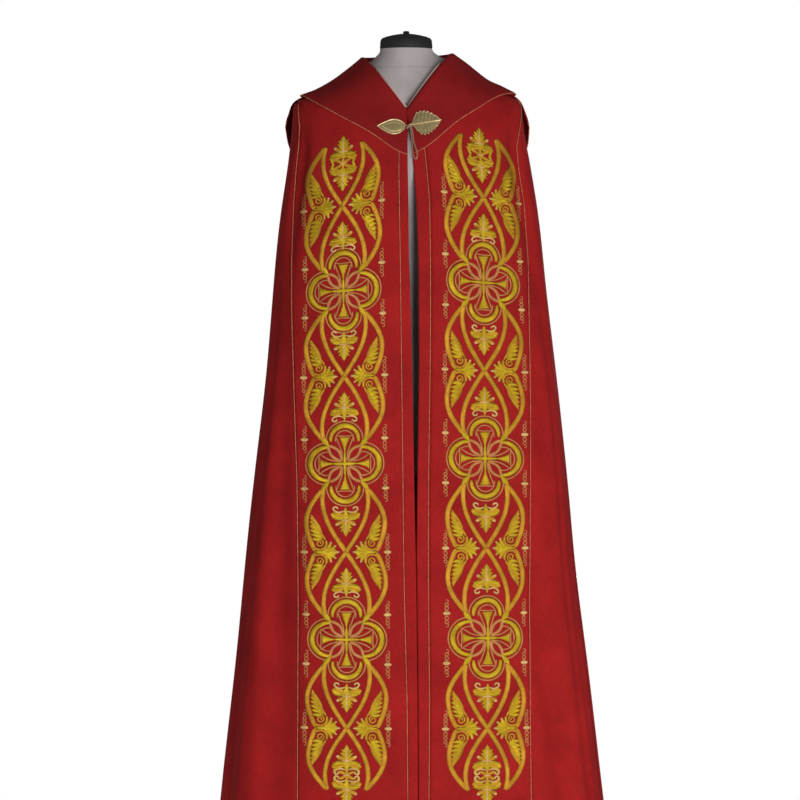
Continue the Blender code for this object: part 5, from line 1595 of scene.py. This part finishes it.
def make_stand():
    lathe("stand_base_turned", "stand_base", (
        (0.0, HUB_TOP_Z), (HUB_RADIUS * 0.84, HUB_TOP_Z), (HUB_RADIUS * 0.95, HUB_TOP_Z - 0.0012),
        (HUB_RADIUS, HUB_TOP_Z - 0.0045), (HUB_RADIUS, BASE_THICKNESS + 0.006),
        (HUB_RADIUS + 0.0015, BASE_THICKNESS + 0.0025), (HUB_RADIUS + 0.006, BASE_THICKNESS),
        (BASE_RADIUS - 0.006, BASE_THICKNESS), (BASE_RADIUS - 0.0022, BASE_THICKNESS - 0.0012),
        (BASE_RADIUS, BASE_THICKNESS - 0.0055), (BASE_RADIUS, 0.0022),
        (BASE_RADIUS - 0.0018, 0.0), (0.0, 0.0),
    ), STAND_BLACK, segments=128)
    top = TORSO_FLOOR_Z - SEAM
    lathe("stand_pole_turned", "stand_pole", (
        (0.0, top), (POLE_RADIUS - 0.0008, top), (POLE_RADIUS, top - 0.0008),
        (POLE_RADIUS, HUB_TOP_Z + SEAM + 0.0006), (POLE_RADIUS - 0.0006, HUB_TOP_Z + SEAM),
        (0.0, HUB_TOP_Z + SEAM),
    ), STAND_BLACK, segments=48)


# ---------------------------------------------------------------- build
FOLDED_MAP, SMOOTH_MAP = FrontMap(1.0), FrontMap(0.0)

for side in ("right", "left"):
    make_cope_side(side)
    make_front_cords(side)
    embroider(side, FOLDED_MAP)
collar_place = make_collar()
hood_place = make_hood()
make_facing()
lay_cord("collar_cord", "collar_piping", edge_line(collar_place))
lay_cord("hood_cord", "hood_piping", edge_line(hood_place))
make_clasp()
make_form()
make_stand()

# ---------------------------------------------------------------- stage, light and camera
FLOOR_RADIUS = 1.15
WHITE = (1.0, 1.0, 1.0)
CAMERA_AWAY, SEEN_WIDTH, SENSOR = 12.0, 1.68, 36.0  # metres, metres at the cope, millimetres


def make_stage():
    """A round pale floor."""
    around = np.radians(np.arange(0, 360, 5))
    points = [(FLOOR_RADIUS * math.cos(a), FLOOR_RADIUS * math.sin(a), 0.0) for a in around]
    pale = Paint("pale_paper").finish({
        "Base Color": (0.88, 0.88, 0.88, 1.0), "Roughness": 0.95, "Specular IOR Level": 0.1})
    new_piece("paper_floor", points, [range(len(points))], [pale])


def area_light(name, place, aim, size, power):
    light = bpy.data.lights.new(name, "AREA")
    light.shape = "RECTANGLE"
    light.size, light.size_y = size
    light.energy = power
    made = show(name, light)
    made.location = place
    way = np.array(aim, float) - np.array(place, float)
    made.visible_camera = False
    made.rotation_euler = (
        math.atan2(math.hypot(way[0], way[1]), -way[2]), 0.0, math.atan2(way[0], -way[1]) + math.pi)


make_stage()
bpy.context.scene.view_settings.view_transform = "Standard"
world = bpy.data.worlds.new("soft_room")
bpy.context.scene.world = world
world.use_nodes = True
nodes, join = world.node_tree.nodes, world.node_tree.links.new
room = nodes["Background"]  # the light that the room gives
room.inputs["Color"].default_value = (*WHITE, 1.0)
room.inputs["Strength"].default_value = 0.22
backdrop = add_node(nodes, "ShaderNodeBackground", {"Color": (*WHITE, 1.0)})
chooser, path = nodes.new("ShaderNodeMixShader"), nodes.new("ShaderNodeLightPath")
join(path.outputs["Is Camera Ray"], chooser.inputs[0])
join(room.outputs[0], chooser.inputs[1])
join(backdrop.outputs[0], chooser.inputs[2])
join(chooser.outputs[0], nodes["World Output"].inputs["Surface"])
area_light("front_softbox", (1.45, -3.6, 0.55), (0.0, 0.0, 0.80), (1.8, 1.4), 142.0)
area_light("left_softbox", (-3.6, -1.6, 1.2), (0.0, 0.0, 0.9), (1.2, 1.8), 20.0)
area_light("back_softbox", (0.3, 4.4, 1.5), (0.0, 0.0, 0.9), (1.8, 1.8), 120.0)

lens = bpy.data.cameras.new("front_camera")
lens.sensor_width, lens.lens = SENSOR, SENSOR * CAMERA_AWAY / SEEN_WIDTH
lens.clip_end = 60.0
viewer = show("front_camera", lens)
viewer.location = (-0.019, -CAMERA_AWAY, 0.920)
viewer.rotation_euler = (math.pi / 2, 0.0, 0.0)
bpy.context.scene.camera = viewer
